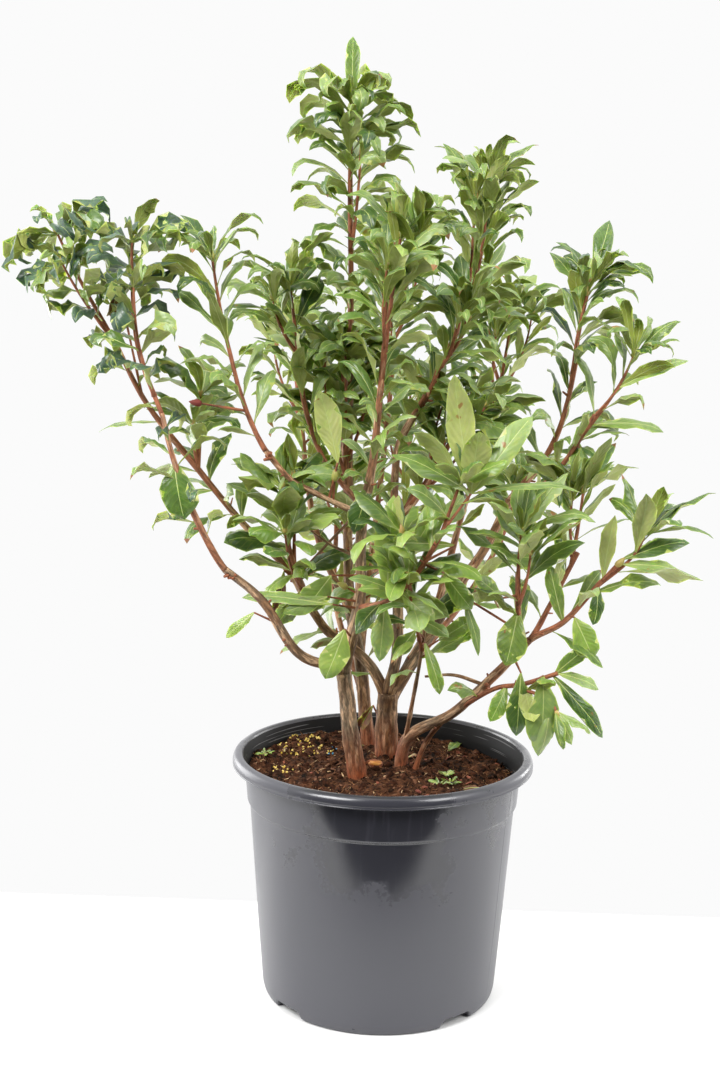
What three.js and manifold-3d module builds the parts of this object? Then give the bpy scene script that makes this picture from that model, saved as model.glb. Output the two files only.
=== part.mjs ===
// A deciduous azalea shrub in a round black nursery pot.
// Millimetres, +Z up. The origin is the centre of the pot's underside, -Y is the shrub's front.
// The pot is one turned wall with four drain notches. Compost fills it to below the rim.
// Four stems stand in the compost. Boughs leave them at named shares of their length, and each
// bough carries one mass of foliage: a closed, uneven solid drawn round the line the shoot takes.
import * as THREE from "three";
import { mergeVertices } from "three/addons/utils/BufferGeometryUtils.js";
import Module from "manifold-3d";

const wasm = await Module();
wasm.setup();

// ---- driving dimensions -------------------------------------------------------------------
const POT_HEIGHT = 286;
const RIM_RADIUS = 175; // outside of the rolled rim
const WALL_TOP_RADIUS = 160; // outside of the wall just under the rim
const WALL_FOOT_RADIUS = 137; // outside of the wall just above its foot
const WALL = 2.6; // moulded wall thickness
const SHOULDER_HEIGHT = 228; // the wall steps out here to the band that stiffens the top
const SHOULDER_STEP = 3;
const RIM_DEPTH = 14;
const PAD_RADIUS = 88; // flat middle of the underside
const FOOT_INNER_RADIUS = 113;
const FOOT_LIFT = 9; // the drain channel between pad and foot is raised this much
const NOTCH_COUNT = 4;
const NOTCH_HEIGHT = 11;
const NOTCH_HALF_ANGLE = THREE.MathUtils.degToRad(10);
const NOTCH_TURN = THREE.MathUtils.degToRad(-50);
const SOIL_LEVEL = 256.5; // middle height of the compost at the wall
const SOIL_TILT = 8; // it lies this much higher at the back left, and lower at the front right
const SOIL_MOUND = 6; // it also rises towards the stems
const SOIL_MOUND_RADIUS = 90;
const SOIL_ROUGHNESS = 2;
const SOIL_WAVE = 20; // length scale of that roughness
const STEM_FOOT = 242; // the stems' feet are cut flat here, a little way down in the compost
const GAP = 0.4; // clearance between neighbouring solids
const CUT_PAST = 5; // the notch cutters reach this far past the wall
const FLARE_FADE = 8; // how fast a stem's flare dies away up its length

const POT_SEGMENTS = 30;
const LIMB_SIDES = 6;
const MASS_SIDES = 7;
const MASS_ROWS = 6;
const LUMPINESS = 0.12; // how far a mass swells and sinks from its smooth shape

// ---- solids -------------------------------------------------------------------------------
function toSolid(geometry) {
  const bare = geometry.clone();
  bare.deleteAttribute("normal");
  bare.deleteAttribute("uv");
  const merged = mergeVertices(bare, 1e-3);
  return new wasm.Manifold(
    new wasm.Mesh({
      numProp: 3,
      vertProperties: new Float32Array(merged.attributes.position.array),
      triVerts: new Uint32Array(merged.index.array),
    }),
  );
}

function toGeometry(solid) {
  const mesh = solid.getMesh();
  const points = new Float32Array(mesh.numVert * 3);
  for (let i = 0; i < mesh.numVert; i++) {
    points.set(mesh.vertProperties.subarray(i * mesh.numProp, i * mesh.numProp + 3), i * 3);
  }
  const geometry = new THREE.BufferGeometry()
    .setAttribute("position", new THREE.BufferAttribute(points, 3))
    .setIndex(new THREE.BufferAttribute(mesh.triVerts, 1));
  geometry.computeVertexNormals();
  return geometry;
}

const largest = (solid) =>
  solid.decompose().reduce((best, piece) => (piece.volume() > best.volume() ? piece : best));

const cutAway = (solid, others) =>
  largest(others.reduce((left, other) => left.subtract(other), solid));

// A lathe turns about Y; the object stands on Z.
const turned = (profile, segments) =>
  new THREE.LatheGeometry(profile.map(([r, z]) => new THREE.Vector2(r, z)), segments)
    .rotateX(Math.PI / 2);

// ---- the pot ------------------------------------------------------------------------------
const wallRadius = (z) =>
  THREE.MathUtils.lerp(WALL_FOOT_RADIUS, WALL_TOP_RADIUS - SHOULDER_STEP, z / (POT_HEIGHT - RIM_DEPTH));

// Inside line of the pot from the floor's middle to the rim, moved inwards by inset.
function potInside(top, inset = 0) {
  const lift = inset + WALL;
  const wall = (z) => wallRadius(z) - WALL - inset;
  return [
    [0, lift],
    [PAD_RADIUS - WALL - inset, lift],
    [PAD_RADIUS + FOOT_LIFT - WALL - inset, FOOT_LIFT + lift],
    [FOOT_INNER_RADIUS - WALL + inset, FOOT_LIFT + lift],
    [FOOT_INNER_RADIUS + FOOT_LIFT / 2 - WALL + inset, NOTCH_HEIGHT + lift],
    [wall(NOTCH_HEIGHT) - WALL, NOTCH_HEIGHT + lift],
    [wall(NOTCH_HEIGHT + FOOT_LIFT), NOTCH_HEIGHT + FOOT_LIFT + inset],
    [wall(SHOULDER_HEIGHT), SHOULDER_HEIGHT + inset],
    [wall(SHOULDER_HEIGHT + SHOULDER_STEP) + SHOULDER_STEP, SHOULDER_HEIGHT + SHOULDER_STEP + inset],
    [wall(top) + SHOULDER_STEP, top],
  ];
}

function potOutside() {
  const rimFoot = POT_HEIGHT - RIM_DEPTH;
  return [
    [0, 0],
    [PAD_RADIUS, 0],
    [PAD_RADIUS + FOOT_LIFT, FOOT_LIFT],
    [FOOT_INNER_RADIUS - FOOT_LIFT / 2, FOOT_LIFT],
    [FOOT_INNER_RADIUS, 0],
    [WALL_FOOT_RADIUS - FOOT_LIFT, 0],
    [WALL_FOOT_RADIUS - WALL, WALL],
    [WALL_FOOT_RADIUS, FOOT_LIFT],
    [wallRadius(SHOULDER_HEIGHT), SHOULDER_HEIGHT],
    [wallRadius(SHOULDER_HEIGHT) + SHOULDER_STEP, SHOULDER_HEIGHT + SHOULDER_STEP],
    [WALL_TOP_RADIUS, rimFoot],
    [RIM_RADIUS - WALL, rimFoot],
    [RIM_RADIUS, rimFoot + WALL],
    [RIM_RADIUS, POT_HEIGHT - 2 * WALL],
    [RIM_RADIUS - WALL, POT_HEIGHT - WALL / 2],
    [RIM_RADIUS - 3 * WALL, POT_HEIGHT],
    [WALL_TOP_RADIUS + WALL, POT_HEIGHT - WALL / 2],
  ];
}

function notchCutter(index) {
  const angle = NOTCH_TURN + (index * 2 * Math.PI) / NOTCH_COUNT - Math.PI / 2;
  const wide = Math.tan(NOTCH_HALF_ANGLE) * WALL_FOOT_RADIUS;
  const outline = new THREE.Shape([
    new THREE.Vector2(-wide, -1),
    new THREE.Vector2(wide, -1),
    new THREE.Vector2(wide - NOTCH_HEIGHT / 2, NOTCH_HEIGHT),
    new THREE.Vector2(NOTCH_HEIGHT / 2 - wide, NOTCH_HEIGHT),
  ]);
  const length = WALL_FOOT_RADIUS + CUT_PAST - FOOT_INNER_RADIUS + FOOT_LIFT;
  return toSolid(
    new THREE.ExtrudeGeometry(outline, { depth: length, bevelEnabled: false })
      .rotateX(Math.PI / 2)
      .translate(0, WALL_FOOT_RADIUS + CUT_PAST, 0)
      .rotateZ(angle - Math.PI / 2),
  );
}

function makePot() {
  const inside = potInside(POT_HEIGHT - 2 * WALL).reverse();
  const body = toSolid(turned([...potOutside(), ...inside], POT_SEGMENTS));
  return cutAway(body, Array.from({ length: NOTCH_COUNT }, (_, i) => notchCutter(i)));
}

// ---- the compost --------------------------------------------------------------------------
const soilHeight = (x, y) => {
  const lean = (SOIL_TILT * Math.SQRT1_2 * (y - x)) / WALL_TOP_RADIUS;
  const mound = SOIL_MOUND * Math.exp(-((Math.hypot(x, y) / SOIL_MOUND_RADIUS) ** 2));
  const rough = SOIL_ROUGHNESS * Math.sin(x / SOIL_WAVE) * Math.cos(y / SOIL_WAVE + 1);
  return SOIL_LEVEL + lean + mound + rough;
};

// The surface is a flat disc of rings lifted to its height; the outer ring stays on the pot's wall.
function makeSoil() {
  const inside = potInside(SOIL_LEVEL, GAP);
  const edgeAt = (z) => potInside(z, GAP).at(-1)[0];
  const edge = edgeAt(SOIL_LEVEL);
  const surface = [0.8, 0.45, 0].map((share) => [edge * share, SOIL_LEVEL]);
  const geometry = turned([...inside, ...surface], POT_SEGMENTS);
  const points = geometry.attributes.position;
  for (let i = 0; i < points.count; i++) {
    const [x, y] = [points.getX(i), points.getY(i)];
    if (points.getZ(i) < SOIL_LEVEL - 1) continue;
    const z = soilHeight(x, y);
    const stretch = edgeAt(z) / edge;
    points.setXYZ(i, x * stretch, y * stretch, z);
  }
  return toSolid(geometry);
}

// ---- limbs and masses ---------------------------------------------------------------------
// Bends a unit shape, which runs from y = -1 to y = 1, onto a curve. size gives its half-width at
// a share of the curve's length and an angle round it; grow swells it evenly, ends included.
function bentAlong(curve, unit, size, grow) {
  const geometry = unit.clone();
  const points = geometry.attributes.position;
  const chord = curve.getPoint(1).sub(curve.getPoint(0));
  const level = new THREE.Vector3(-chord.y, chord.x, 0.01 * chord.z);
  const spot = new THREE.Vector3();
  for (let i = 0; i < points.count; i++) {
    spot.fromBufferAttribute(points, i);
    const share = (spot.y + 1) / 2;
    const along = curve.getTangentAt(share);
    const side = level.clone().projectOnPlane(along).normalize();
    const front = side.clone().cross(along);
    const reach = size(share, Math.atan2(spot.z, spot.x)) + grow;
    const moved = curve.getPointAt(share)
      .addScaledVector(side, spot.x * reach)
      .addScaledVector(front, spot.z * reach)
      .addScaledVector(along, spot.y * grow);
    points.setXYZ(i, ...moved);
  }
  return toSolid(geometry);
}

const limbs = new Map();
const masses = new Map();
const place = ([first, ...rest]) =>
  limbs.has(first)
    ? limbs.get(first).curve.getPointAt(rest[0])
    : new THREE.Vector3(first, ...rest);
const curveThrough = (stops) => new THREE.CatmullRomCurve3(stops.map(place), false, "centripetal");
const clearances = (made) => [...made.values()].map((other) => other.clearance);

// A limb tapers from its place on a parent, or from the compost, through its bends to its tip.
// flare widens a stem at the ground, where its foot is cut flat.
function makeLimb(name, { stops, girth, flare = 0 }) {
  const curve = curveThrough(stops);
  const unit = new THREE.CylinderGeometry(1, 1, 2, LIMB_SIDES, 2 * stops.length - 2);
  const size = (share) =>
    THREE.MathUtils.lerp(...girth, share) + flare * Math.exp(-share * FLARE_FADE);
  const shape = (grow) =>
    bentAlong(curve, unit, size, grow).trimByPlane([0, 0, 1], STEM_FOOT - grow);
  const solid = cutAway(shape(0), clearances(limbs));
  limbs.set(name, { curve, solid, clearance: shape(GAP) });
}

// A mass runs from its place on a limb to its furthest leaves. fullness leans its girth towards
// its foot (below 0) or its top (above 0).
function makeMass(name, { stops, girth, fullness = 0.15 }) {
  const curve = curveThrough(stops);
  const unit = new THREE.SphereGeometry(1, MASS_SIDES, MASS_ROWS);
  const phase = masses.size;
  const size = (share, angle) => {
    const lumps = Math.sin(2 * angle + phase + 5 * share) + Math.sin(3 * angle - 2 * phase + 9 * share);
    return girth * (1 + fullness * (2 * share - 1)) * (1 + LUMPINESS * lumps);
  };
  const shape = (grow) => bentAlong(curve, unit, size, grow);
  const solid = cutAway(shape(0), [...clearances(limbs), ...clearances(masses)]);
  masses.set(name, { solid, clearance: shape(GAP) });
}

// Each stop is a point, or a limb's name and the share of its length. girth is the half-width.
const LIMBS = {
  stem_left: { stops: [[-26, -8, 235], [-39, -30, 326], [-47, -40, 388]], girth: [10.5, 9], flare: 4 },
  stem_centre: { stops: [[5, 62, 235], [5, 52, 300], [5, 40, 345]], girth: [14, 12.5], flare: 4 },
  stem_right: {
    stops: [[20, 12, 235], [28, 2, 299], [80, -34, 343], [129, -60, 401], [158, -70, 436]],
    girth: [7.5, 4.2],
    flare: 2,
  },
  stem_leader: {
    stops: [[-14, 100, 235], [-27, 88, 362], [-42, 92, 445], [-46, 90, 567], [-46, 80, 687], [-47, 55, 865]],
    girth: [8.2, 2.8],
    flare: 2,
  },
  bough_left_low: {
    stops: [["stem_left", 1], [-95, -60, 412], [-137, -80, 477], [-176, -90, 512]],
    girth: [6, 4.4],
  },
  bough_left_low_upper: {
    stops: [["bough_left_low", 1], [-213, -100, 583], [-232, -100, 636], [-243, -97, 680]],
    girth: [4, 2.7],
  },
  bough_left_long: {
    stops: [["stem_centre", 0.93], [-16, 46, 375], [-35, 50, 393], [-70, 50, 418], [-108, 30, 485]],
    girth: [6.6, 4.8],
  },
  bough_left_long_upper: {
    stops: [["bough_left_long", 1], [-163, 10, 546], [-218, -10, 616], [-271, -30, 689], [-303, -38, 755]],
    girth: [4.4, 2.7],
  },
  bough_front: {
    stops: [["stem_left", 1], [-30, -30, 469], [-30, -20, 542], [-17, -30, 638], [-8, -40, 755]],
    girth: [8, 3],
  },
  bough_front_low: {
    stops: [["bough_front", 0.2], [6, -90, 484], [29, -110, 513], [62, -133, 575]],
    girth: [3.3, 2.4],
  },
  bough_centre: {
    stops: [["stem_centre", 1], [15, 40, 395], [8, 40, 602], [14, 40, 643], [48, 40, 707], [78, 50, 772]],
    girth: [7.2, 3],
  },
  bough_centre_side: { stops: [["bough_centre", 0.78], [45, 5, 705], [55, -8, 735]], girth: [2.9, 2.3] },
  bough_right: {
    stops: [["stem_centre", 0.9], [40, 50, 391], [85, 60, 468], [114, 70, 509], [145, 70, 573]],
    girth: [8.6, 4.6],
  },
  bough_right_upper: {
    stops: [["bough_right", 1], [178, 60, 616], [194, 50, 650], [205, 50, 688], [214, 42, 745]],
    girth: [4, 2.7],
  },
  bough_right_second: {
    stops: [["bough_right", 0.93], [171, 30, 582], [202, 10, 629], [230, -2, 680]],
    girth: [3.6, 2.7],
  },
  bough_right_low: { stops: [["stem_right", 1], [192, -80, 458], [230, -95, 508]], girth: [3.6, 2.6] },
  bough_right_low_back: { stops: [["stem_right", 1], [181, -60, 475], [211, -43, 530]], girth: [3.4, 2.6] },
  bough_right_low_inner: { stops: [["stem_right", 0.96], [143, -80, 471], [140, -90, 515]], girth: [3.2, 2.5] },
  bough_right_hanging: {
    stops: [["stem_right", 0.55], [124, -70, 381], [150, -80, 388], [187, -95, 405]],
    girth: [3, 2.4],
  },
  bough_thin: { stops: [["stem_right", 0.2], [37, -32, 385], [44, -45, 447]], girth: [2.6, 2.2] },
  bough_left_back: {
    stops: [["bough_front", 0.5], [-75, 30, 623], [-97, 40, 681], [-107, 40, 750]],
    girth: [3.4, 2.6],
  },
  bough_left_third: {
    stops: [["bough_front", 0.48], [-81, -50, 592], [-109, -60, 609], [-135, -70, 640]],
    girth: [3.6, 3.1],
  },
  bough_left_third_upper: {
    stops: [["bough_left_third", 1], [-152, -70, 673], [-166, -70, 712]],
    girth: [3.1, 2.6],
  },
  bough_back_left: { stops: [["stem_leader", 0.3], [-85, 140, 520], [-108, 190, 655]], girth: [5, 2.8] },
  bough_back_centre: { stops: [["stem_leader", 0.22], [-10, 160, 550], [5, 205, 700]], girth: [5, 2.8] },
  bough_back_right: { stops: [["bough_right", 0.35], [95, 140, 550], [135, 190, 665]], girth: [5, 2.8] },
  bough_back_low_left: {
    stops: [["stem_leader", 0.14], [-60, 150, 430], [-62, 225, 505]],
    girth: [4.6, 2.8],
  },
  bough_back_low_right: {
    stops: [["bough_right", 0.15], [105, 160, 440], [152, 230, 500]],
    girth: [4.6, 2.8],
  },
  bough_back_far: { stops: [["bough_back_centre", 0.3], [20, 240, 480], [28, 300, 570]], girth: [4.2, 2.8] },
};

const MASSES = {
  mass_far_left: {
    stops: [["bough_left_long_upper", 0.97], [-338, -40, 820], [-372, -42, 898]],
    girth: 70,
    fullness: 0.3,
  },
  mass_left_second: {
    stops: [["bough_left_low_upper", 0.97], [-265, -80, 753], [-258, -70, 900]],
    girth: 54,
  },
  mass_left_third: {
    stops: [["bough_left_third_upper", 0.97], [-183, -62, 780], [-203, -60, 898]],
    girth: 62,
  },
  mass_left_back: { stops: [["bough_left_back", 0.9], [-112, 42, 790], [-124, 45, 872]], girth: 68 },
  mass_leader: { stops: [["stem_leader", 0.95], [-50, 42, 940], [-49, 30, 1085]], girth: 60 },
  mass_front: { stops: [["bough_front", 0.9], [-2, -45, 800], [16, -45, 950]], girth: 66 },
  mass_centre: { stops: [["bough_centre", 0.93], [98, 50, 840], [110, 50, 985]], girth: 60 },
  mass_centre_side: { stops: [["bough_centre_side", 0.85], [78, -25, 770], [88, -40, 845]], girth: 54 },
  mass_right_upper: {
    stops: [["bough_right_upper", 0.8], [215, 44, 770], [238, 44, 882]],
    girth: 62,
  },
  mass_right_second: { stops: [["bough_right_second", 0.85], [258, -8, 720], [285, -15, 800]], girth: 62 },
  mass_right_low: { stops: [["bough_right_low", 0.9], [268, -88, 540], [290, -82, 612]], girth: 60 },
  mass_right_low_back: {
    stops: [["bough_right_low_back", 0.85], [216, -28, 590], [218, -15, 650]],
    girth: 54,
  },
  mass_right_low_inner: {
    stops: [["bough_right_low_inner", 0.5], [140, -100, 540], [148, -105, 615]],
    girth: 52,
  },
  mass_right_hanging: {
    stops: [["bough_right_hanging", 0.6], [182, -105, 372], [188, -112, 310]],
    girth: 62,
  },
  mass_front_low: { stops: [["bough_thin", 0.8], [22, -95, 510], [5, -125, 612]], girth: 60 },
  mass_front_shoot: { stops: [["bough_front_low", 0.9], [80, -142, 640], [102, -150, 728]], girth: 58 },
  mass_left_low: { stops: [["bough_left_long", 0.85], [-112, -15, 530], [-122, -30, 650]], girth: 60 },
  mass_left_inner: {
    stops: [["bough_left_long_upper", 0.5], [-212, -8, 670], [-212, -8, 750]],
    girth: 54,
  },
  mass_centre_inner: { stops: [["stem_leader", 0.5], [-52, 78, 660], [-58, 66, 800]], girth: 74 },
  mass_centre_low: { stops: [["bough_centre", 0.45], [55, 45, 610], [115, 50, 745]], girth: 72 },
  mass_back_left: { stops: [["bough_back_left", 0.95], [-118, 215, 730], [-124, 230, 835]], girth: 74 },
  mass_back_centre: { stops: [["bough_back_centre", 0.97], [8, 220, 800], [10, 230, 925]], girth: 78 },
  mass_back_right: { stops: [["bough_back_right", 0.95], [148, 212, 740], [160, 226, 850]], girth: 74 },
  mass_back_low_left: {
    stops: [["bough_back_low_left", 0.95], [-64, 255, 560], [-66, 272, 640]],
    girth: 66,
  },
  mass_back_low_right: {
    stops: [["bough_back_low_right", 0.95], [172, 252, 550], [180, 268, 632]],
    girth: 66,
  },
  mass_back_far: { stops: [["bough_back_far", 0.95], [32, 335, 640], [35, 350, 735]], girth: 72 },
};

// ---- the object ---------------------------------------------------------------------------
const material = (name, color, roughness) =>
  Object.assign(new THREE.MeshStandardMaterial({ color, roughness }), { name });

const group = new THREE.Group();
function add(name, solid, skin) {
  const mesh = new THREE.Mesh(toGeometry(solid), skin.clone());
  mesh.name = name;
  group.add(mesh);
}

const pot = material("pot", 0x26292c, 0.4);
const compost = material("compost", 0x3d2a1f, 0.95);
const bark = material("bark", 0x7a5740, 0.9);
const foliage = material("foliage", 0x4f7a3c, 0.7);

for (const [name, row] of Object.entries(LIMBS)) makeLimb(name, row);
for (const [name, row] of Object.entries(MASSES)) makeMass(name, row);

add("pot", makePot(), pot);
add("compost", cutAway(makeSoil(), clearances(limbs)), compost);
for (const [name, { solid }] of limbs) add(name, solid, bark);
for (const [name, { solid }] of masses) add(name, solid, foliage);

export default group;
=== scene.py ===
# %% [markdown]
# # A potted azalea
# A deciduous azalea in full leaf, in a round black nursery pot. The frame holds plain solids: the pot, the
# compost, each limb, and closed masses that only say where foliage is. This script gives the pot its moulded
# surface, the compost its crumbs, and the limbs their bark. It replaces each mass with shoots that grow on
# from the limbs and carry separate leaves.

# %% Load the frame
import math

import bpy
import numpy as np
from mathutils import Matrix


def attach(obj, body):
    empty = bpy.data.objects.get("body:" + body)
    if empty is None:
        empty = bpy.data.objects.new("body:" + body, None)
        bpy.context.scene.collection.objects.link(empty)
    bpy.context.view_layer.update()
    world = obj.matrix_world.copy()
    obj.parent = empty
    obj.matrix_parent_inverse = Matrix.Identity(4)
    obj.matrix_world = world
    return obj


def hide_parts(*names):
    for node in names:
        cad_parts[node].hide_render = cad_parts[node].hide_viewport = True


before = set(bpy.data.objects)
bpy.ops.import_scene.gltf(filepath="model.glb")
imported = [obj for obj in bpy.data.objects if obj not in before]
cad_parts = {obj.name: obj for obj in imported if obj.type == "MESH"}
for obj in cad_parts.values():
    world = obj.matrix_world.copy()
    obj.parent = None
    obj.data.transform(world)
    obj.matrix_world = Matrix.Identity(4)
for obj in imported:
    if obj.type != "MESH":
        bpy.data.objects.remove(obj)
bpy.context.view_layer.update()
MM = 0.001
FIRST_SEED = 20
rng = np.random.default_rng(FIRST_SEED)

# %% [markdown]
# ## Shared helpers
# Colours are written as the hex values that a paint or screen shows, so one function turns them into the
# linear light values that shader sockets take. A pattern's scale counts its repeats to the metre, so another
# works it out from a real size. One more adds a node and fills its sockets. There is none for each kind of
# node, so that every line of a material reads like the node that it makes.


# %% Colours and nodes
def linear(hex_colour):
    channels = [int(hex_colour[i : i + 2], 16) / 255 for i in (1, 3, 5)]
    return (*(c / 12.92 if c < 0.04045 else ((c + 0.055) / 1.055) ** 2.4 for c in channels), 1.0)


def per_metre(size):
    """The scale of a pattern, from the real size in millimetres of what it draws."""
    return 1 / (size * MM)


def add(tree, kind, sockets=None, **settings):
    """Adds a node. sockets fills its inputs by name or number, with a value or another node's output."""
    node = tree.nodes.new(kind)
    for name, value in settings.items():
        setattr(node, name, value)
    for key, value in (sockets or {}).items():
        if isinstance(value, bpy.types.NodeSocket):
            tree.links.new(value, node.inputs[key])
        else:
            node.inputs[key].default_value = value
    return node


def new_material(name):
    material = bpy.data.materials.new(name)
    material.use_nodes = True
    material.node_tree.nodes.clear()
    return material, material.node_tree


print("a mid grey is", round(linear("#808080")[0], 3), "in linear light")

# %% [markdown]
# Most pieces here are worked out as arrays of points, because a shape that follows a formula is drawn more
# quickly and evenly that way than by hand. These helpers turn the arrays into a mesh, close a tube at both
# ends, gather hundreds of small tubes into one piece, and hide the frame's solids that each piece stands for.


# %% Pieces from arrays
def mesh_from(name, points, faces, materials, face_materials=None, numbers=None, uv=None):
    """A smooth-shaded mesh object. numbers holds one value or vector per point for each named attribute."""
    mesh = bpy.data.meshes.new(name)
    mesh.from_pydata(np.asarray(points).tolist(), [], faces)
    for material in materials:
        mesh.materials.append(material)
    if face_materials is not None:
        mesh.polygons.foreach_set("material_index", np.asarray(face_materials, np.int32))
    for key, values in (numbers or {}).items():
        values = np.asarray(values, np.float32)
        kind, field = ("FLOAT", "value") if values.ndim == 1 else ("FLOAT_VECTOR", "vector")
        mesh.attributes.new(key, kind, "POINT").data.foreach_set(field, values.ravel())
    if uv is not None:
        corners = np.zeros(len(mesh.loops), np.int32)
        mesh.loops.foreach_get("vertex_index", corners)
        layer = mesh.uv_layers.new(name="veins")
        layer.data.foreach_set("uv", np.asarray(uv, np.float32)[corners].ravel())
    mesh.shade_smooth()
    piece = bpy.data.objects.new(name, mesh)
    bpy.context.scene.collection.objects.link(piece)
    return piece


def settle(piece, slot, *nodes):
    """The piece rides on the plant's one body and stands for these solids, which are hidden. slot is not
    used.
    """
    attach(piece, "root")
    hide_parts(*nodes)
    print(piece.name, "has", len(piece.data.polygons), "faces and stands for", len(nodes), "solids")


def tube_faces(rings, sides):
    """The four-cornered faces of a tube of rings, and a closing face at each end."""
    ring, side = np.meshgrid(np.arange(rings - 1), np.arange(sides), indexing="ij")
    here, beside = ring * sides + side, ring * sides + (side + 1) % sides
    walls = np.stack([here, beside, beside + sides, here + sides], -1).reshape(-1, 4)
    foot, tip = np.arange(sides)[::-1], np.arange(sides) + (rings - 1) * sides
    return [*walls.tolist(), foot.tolist(), tip.tolist()]


class Batch:
    """Gathers many small shapes that become one piece."""

    def __init__(self):
        self.points, self.faces, self.materials, self.numbers, self.count = [], [], [], {}, 0

    def add(self, points, faces, material=0, **numbers):
        self.faces += [[corner + self.count for corner in face] for face in faces]
        self.materials += [material] * len(faces)
        self.points.append(points)
        self.count += len(points)
        for key, values in numbers.items():
            self.numbers.setdefault(key, []).append(values)

    def piece(self, name, materials):
        numbers = {key: np.concatenate(parts) for key, parts in self.numbers.items()}
        return mesh_from(name, np.vstack(self.points), self.faces, materials, self.materials, numbers)


print("a closed tube of 3 rings with 6 sides has", len(tube_faces(3, 6)), "faces")

# %% [markdown]
# ## Camera, table and light
# A plant is shown at eye level, from a little above its middle, with a long enough lens that the pot's rim
# stays a flat ellipse. Everything round it is white: a pale table that ends just behind the pot, and an even
# white surround. Only the room on the viewer's side is dimmer, which keeps the front of the glossy pot dark
# between bright edges. Large soft lights from the front make up for it. Standard colours keep whites bright.

# %% The camera
CAMERA_PLACE = np.array([-0.031, -1.6865, 0.7965])
CAMERA_PITCH = 0.155  # radians below the horizon
CAMERA_ROLL = 0.018
CAMERA_LENS, SENSOR_WIDTH = 50, 36  # mm


def look_from(place, pitch, roll):
    ahead = np.array([0, math.cos(pitch), -math.sin(pitch)])
    right = np.array([1, 0, 0])
    up = np.cross(right, ahead)
    right, up = math.cos(roll) * right + math.sin(roll) * up, math.cos(roll) * up - math.sin(roll) * right
    return [[right[i], up[i], -ahead[i], place[i]] for i in range(3)] + [[0, 0, 0, 1]]


camera_data = bpy.data.cameras.new("camera")
camera_data.lens = CAMERA_LENS
camera_data.sensor_width = SENSOR_WIDTH
camera = bpy.data.objects.new("camera", camera_data)
camera.matrix_world = list(zip(*look_from(CAMERA_PLACE, CAMERA_PITCH, CAMERA_ROLL)))
bpy.context.scene.collection.objects.link(camera)
bpy.context.scene.camera = camera
bpy.context.scene.view_settings.view_transform = "Standard"
print("camera at", camera.location[:])

# %% [markdown]
# The table: a white laminate top, which is melamine paper pressed over board. It is even in colour and
# between matt and satin, so the eye gets a soft shadow and hardly a reflection.

# %% The table
TABLE_BACK = 0.229  # where its back edge crosses the middle plane
TABLE_TURN = -0.044  # how far that edge runs askew
TABLE_REACH = 2.4
TABLE_FRONT = 0.42
TABLE_THICKNESS = 0.03

table_material, tree = new_material("white_laminate_table")
shader = add(tree, "ShaderNodeBsdfPrincipled", {"Base Color": linear("#f1f1f0"), "Roughness": 0.45})
add(tree, "ShaderNodeOutputMaterial", {"Surface": shader.outputs[0]})
corners = [
    (x, y, z)
    for z in (-TABLE_THICKNESS, 0)
    for x, y in (
        (-TABLE_REACH, -TABLE_FRONT),
        (TABLE_REACH, -TABLE_FRONT),
        (TABLE_REACH, TABLE_BACK + TABLE_TURN * TABLE_REACH),
        (-TABLE_REACH, TABLE_BACK - TABLE_TURN * TABLE_REACH),
    )
]
sides = [[i, (i + 1) % 4, (i + 1) % 4 + 4, i + 4] for i in range(4)]
table = mesh_from("table", corners, [[3, 2, 1, 0], [4, 5, 6, 7], *sides], [table_material])
table.data.shade_flat()
print("table:", 2 * TABLE_REACH, "m wide and", TABLE_THICKNESS, "m thick")

# %% [markdown]
# The light: a world that is plain white to the camera but, as light, fades from behind the plant towards the
# viewer. Area lights add to it: two large soft ones from the front, and two small ones from behind that draw
# a bright edge down each flank of the pot. Large lights were chosen because leaves cast too many hard shadows
# under small ones.

# %% The light
DIM_HEADING, BRIGHT_HEADING = -0.61, -0.25  # between these headings, from the viewer to the back,
DIM_STRENGTH, BRIGHT_STRENGTH = 0.06, 1.6  # the surround's strength goes from one to the other

world = bpy.data.worlds.new("white_surround")
world.use_nodes = True
tree = world.node_tree
tree.nodes.clear()
heading = add(tree, "ShaderNodeSeparateXYZ", {0: add(tree, "ShaderNodeTexCoord").outputs["Generated"]})
depth = add(tree, "ShaderNodeMapRange", {
    0: heading.outputs["Y"],
    1: DIM_HEADING,
    2: BRIGHT_HEADING,
    3: DIM_STRENGTH,
    4: BRIGHT_STRENGTH,
})
seen = add(tree, "ShaderNodeLightPath").outputs["Is Camera Ray"]
glow = add(tree, "ShaderNodeMix", {0: seen, 2: depth.outputs[0], 3: 1.0})
surround = add(tree, "ShaderNodeBackground", {"Color": linear("#fbfbfb"), "Strength": glow.outputs[0]})
add(tree, "ShaderNodeOutputWorld", {"Surface": surround.outputs[0]})
bpy.context.scene.world = world

SOFT_LIGHTS = {  # place, width in metres, and watts
    "soft_light_left": ((-1.6, -1.7, 2.4), 1.4, 100),
    "soft_light_right": ((1.7, -1.5, 2.0), 1.2, 45),
    "edge_light_left": ((-1.35, 0.95, 0.6), 0.9, 16),
    "edge_light_right": ((1.3, 1.0, 0.6), 0.5, 6),
}
AIM = np.array([0, 0, 0.55])  # all of them face the lower crown
for name, (place, width, watts) in SOFT_LIGHTS.items():
    light = bpy.data.lights.new(name, "AREA")
    light.size = width
    light.energy = watts
    lamp = bpy.data.objects.new(name, light)
    back = np.array(place) - AIM
    back /= np.linalg.norm(back)
    across = np.cross([0, 0, 1], back)
    across /= np.linalg.norm(across)
    over = np.cross(back, across)
    lamp.matrix_world = [[*across, 0], [*over, 0], [*back, 0], [*place, 1]]
    bpy.context.scene.collection.objects.link(lamp)
print("stage:", table.name, "and", len(SOFT_LIGHTS), "soft lights")

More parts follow.
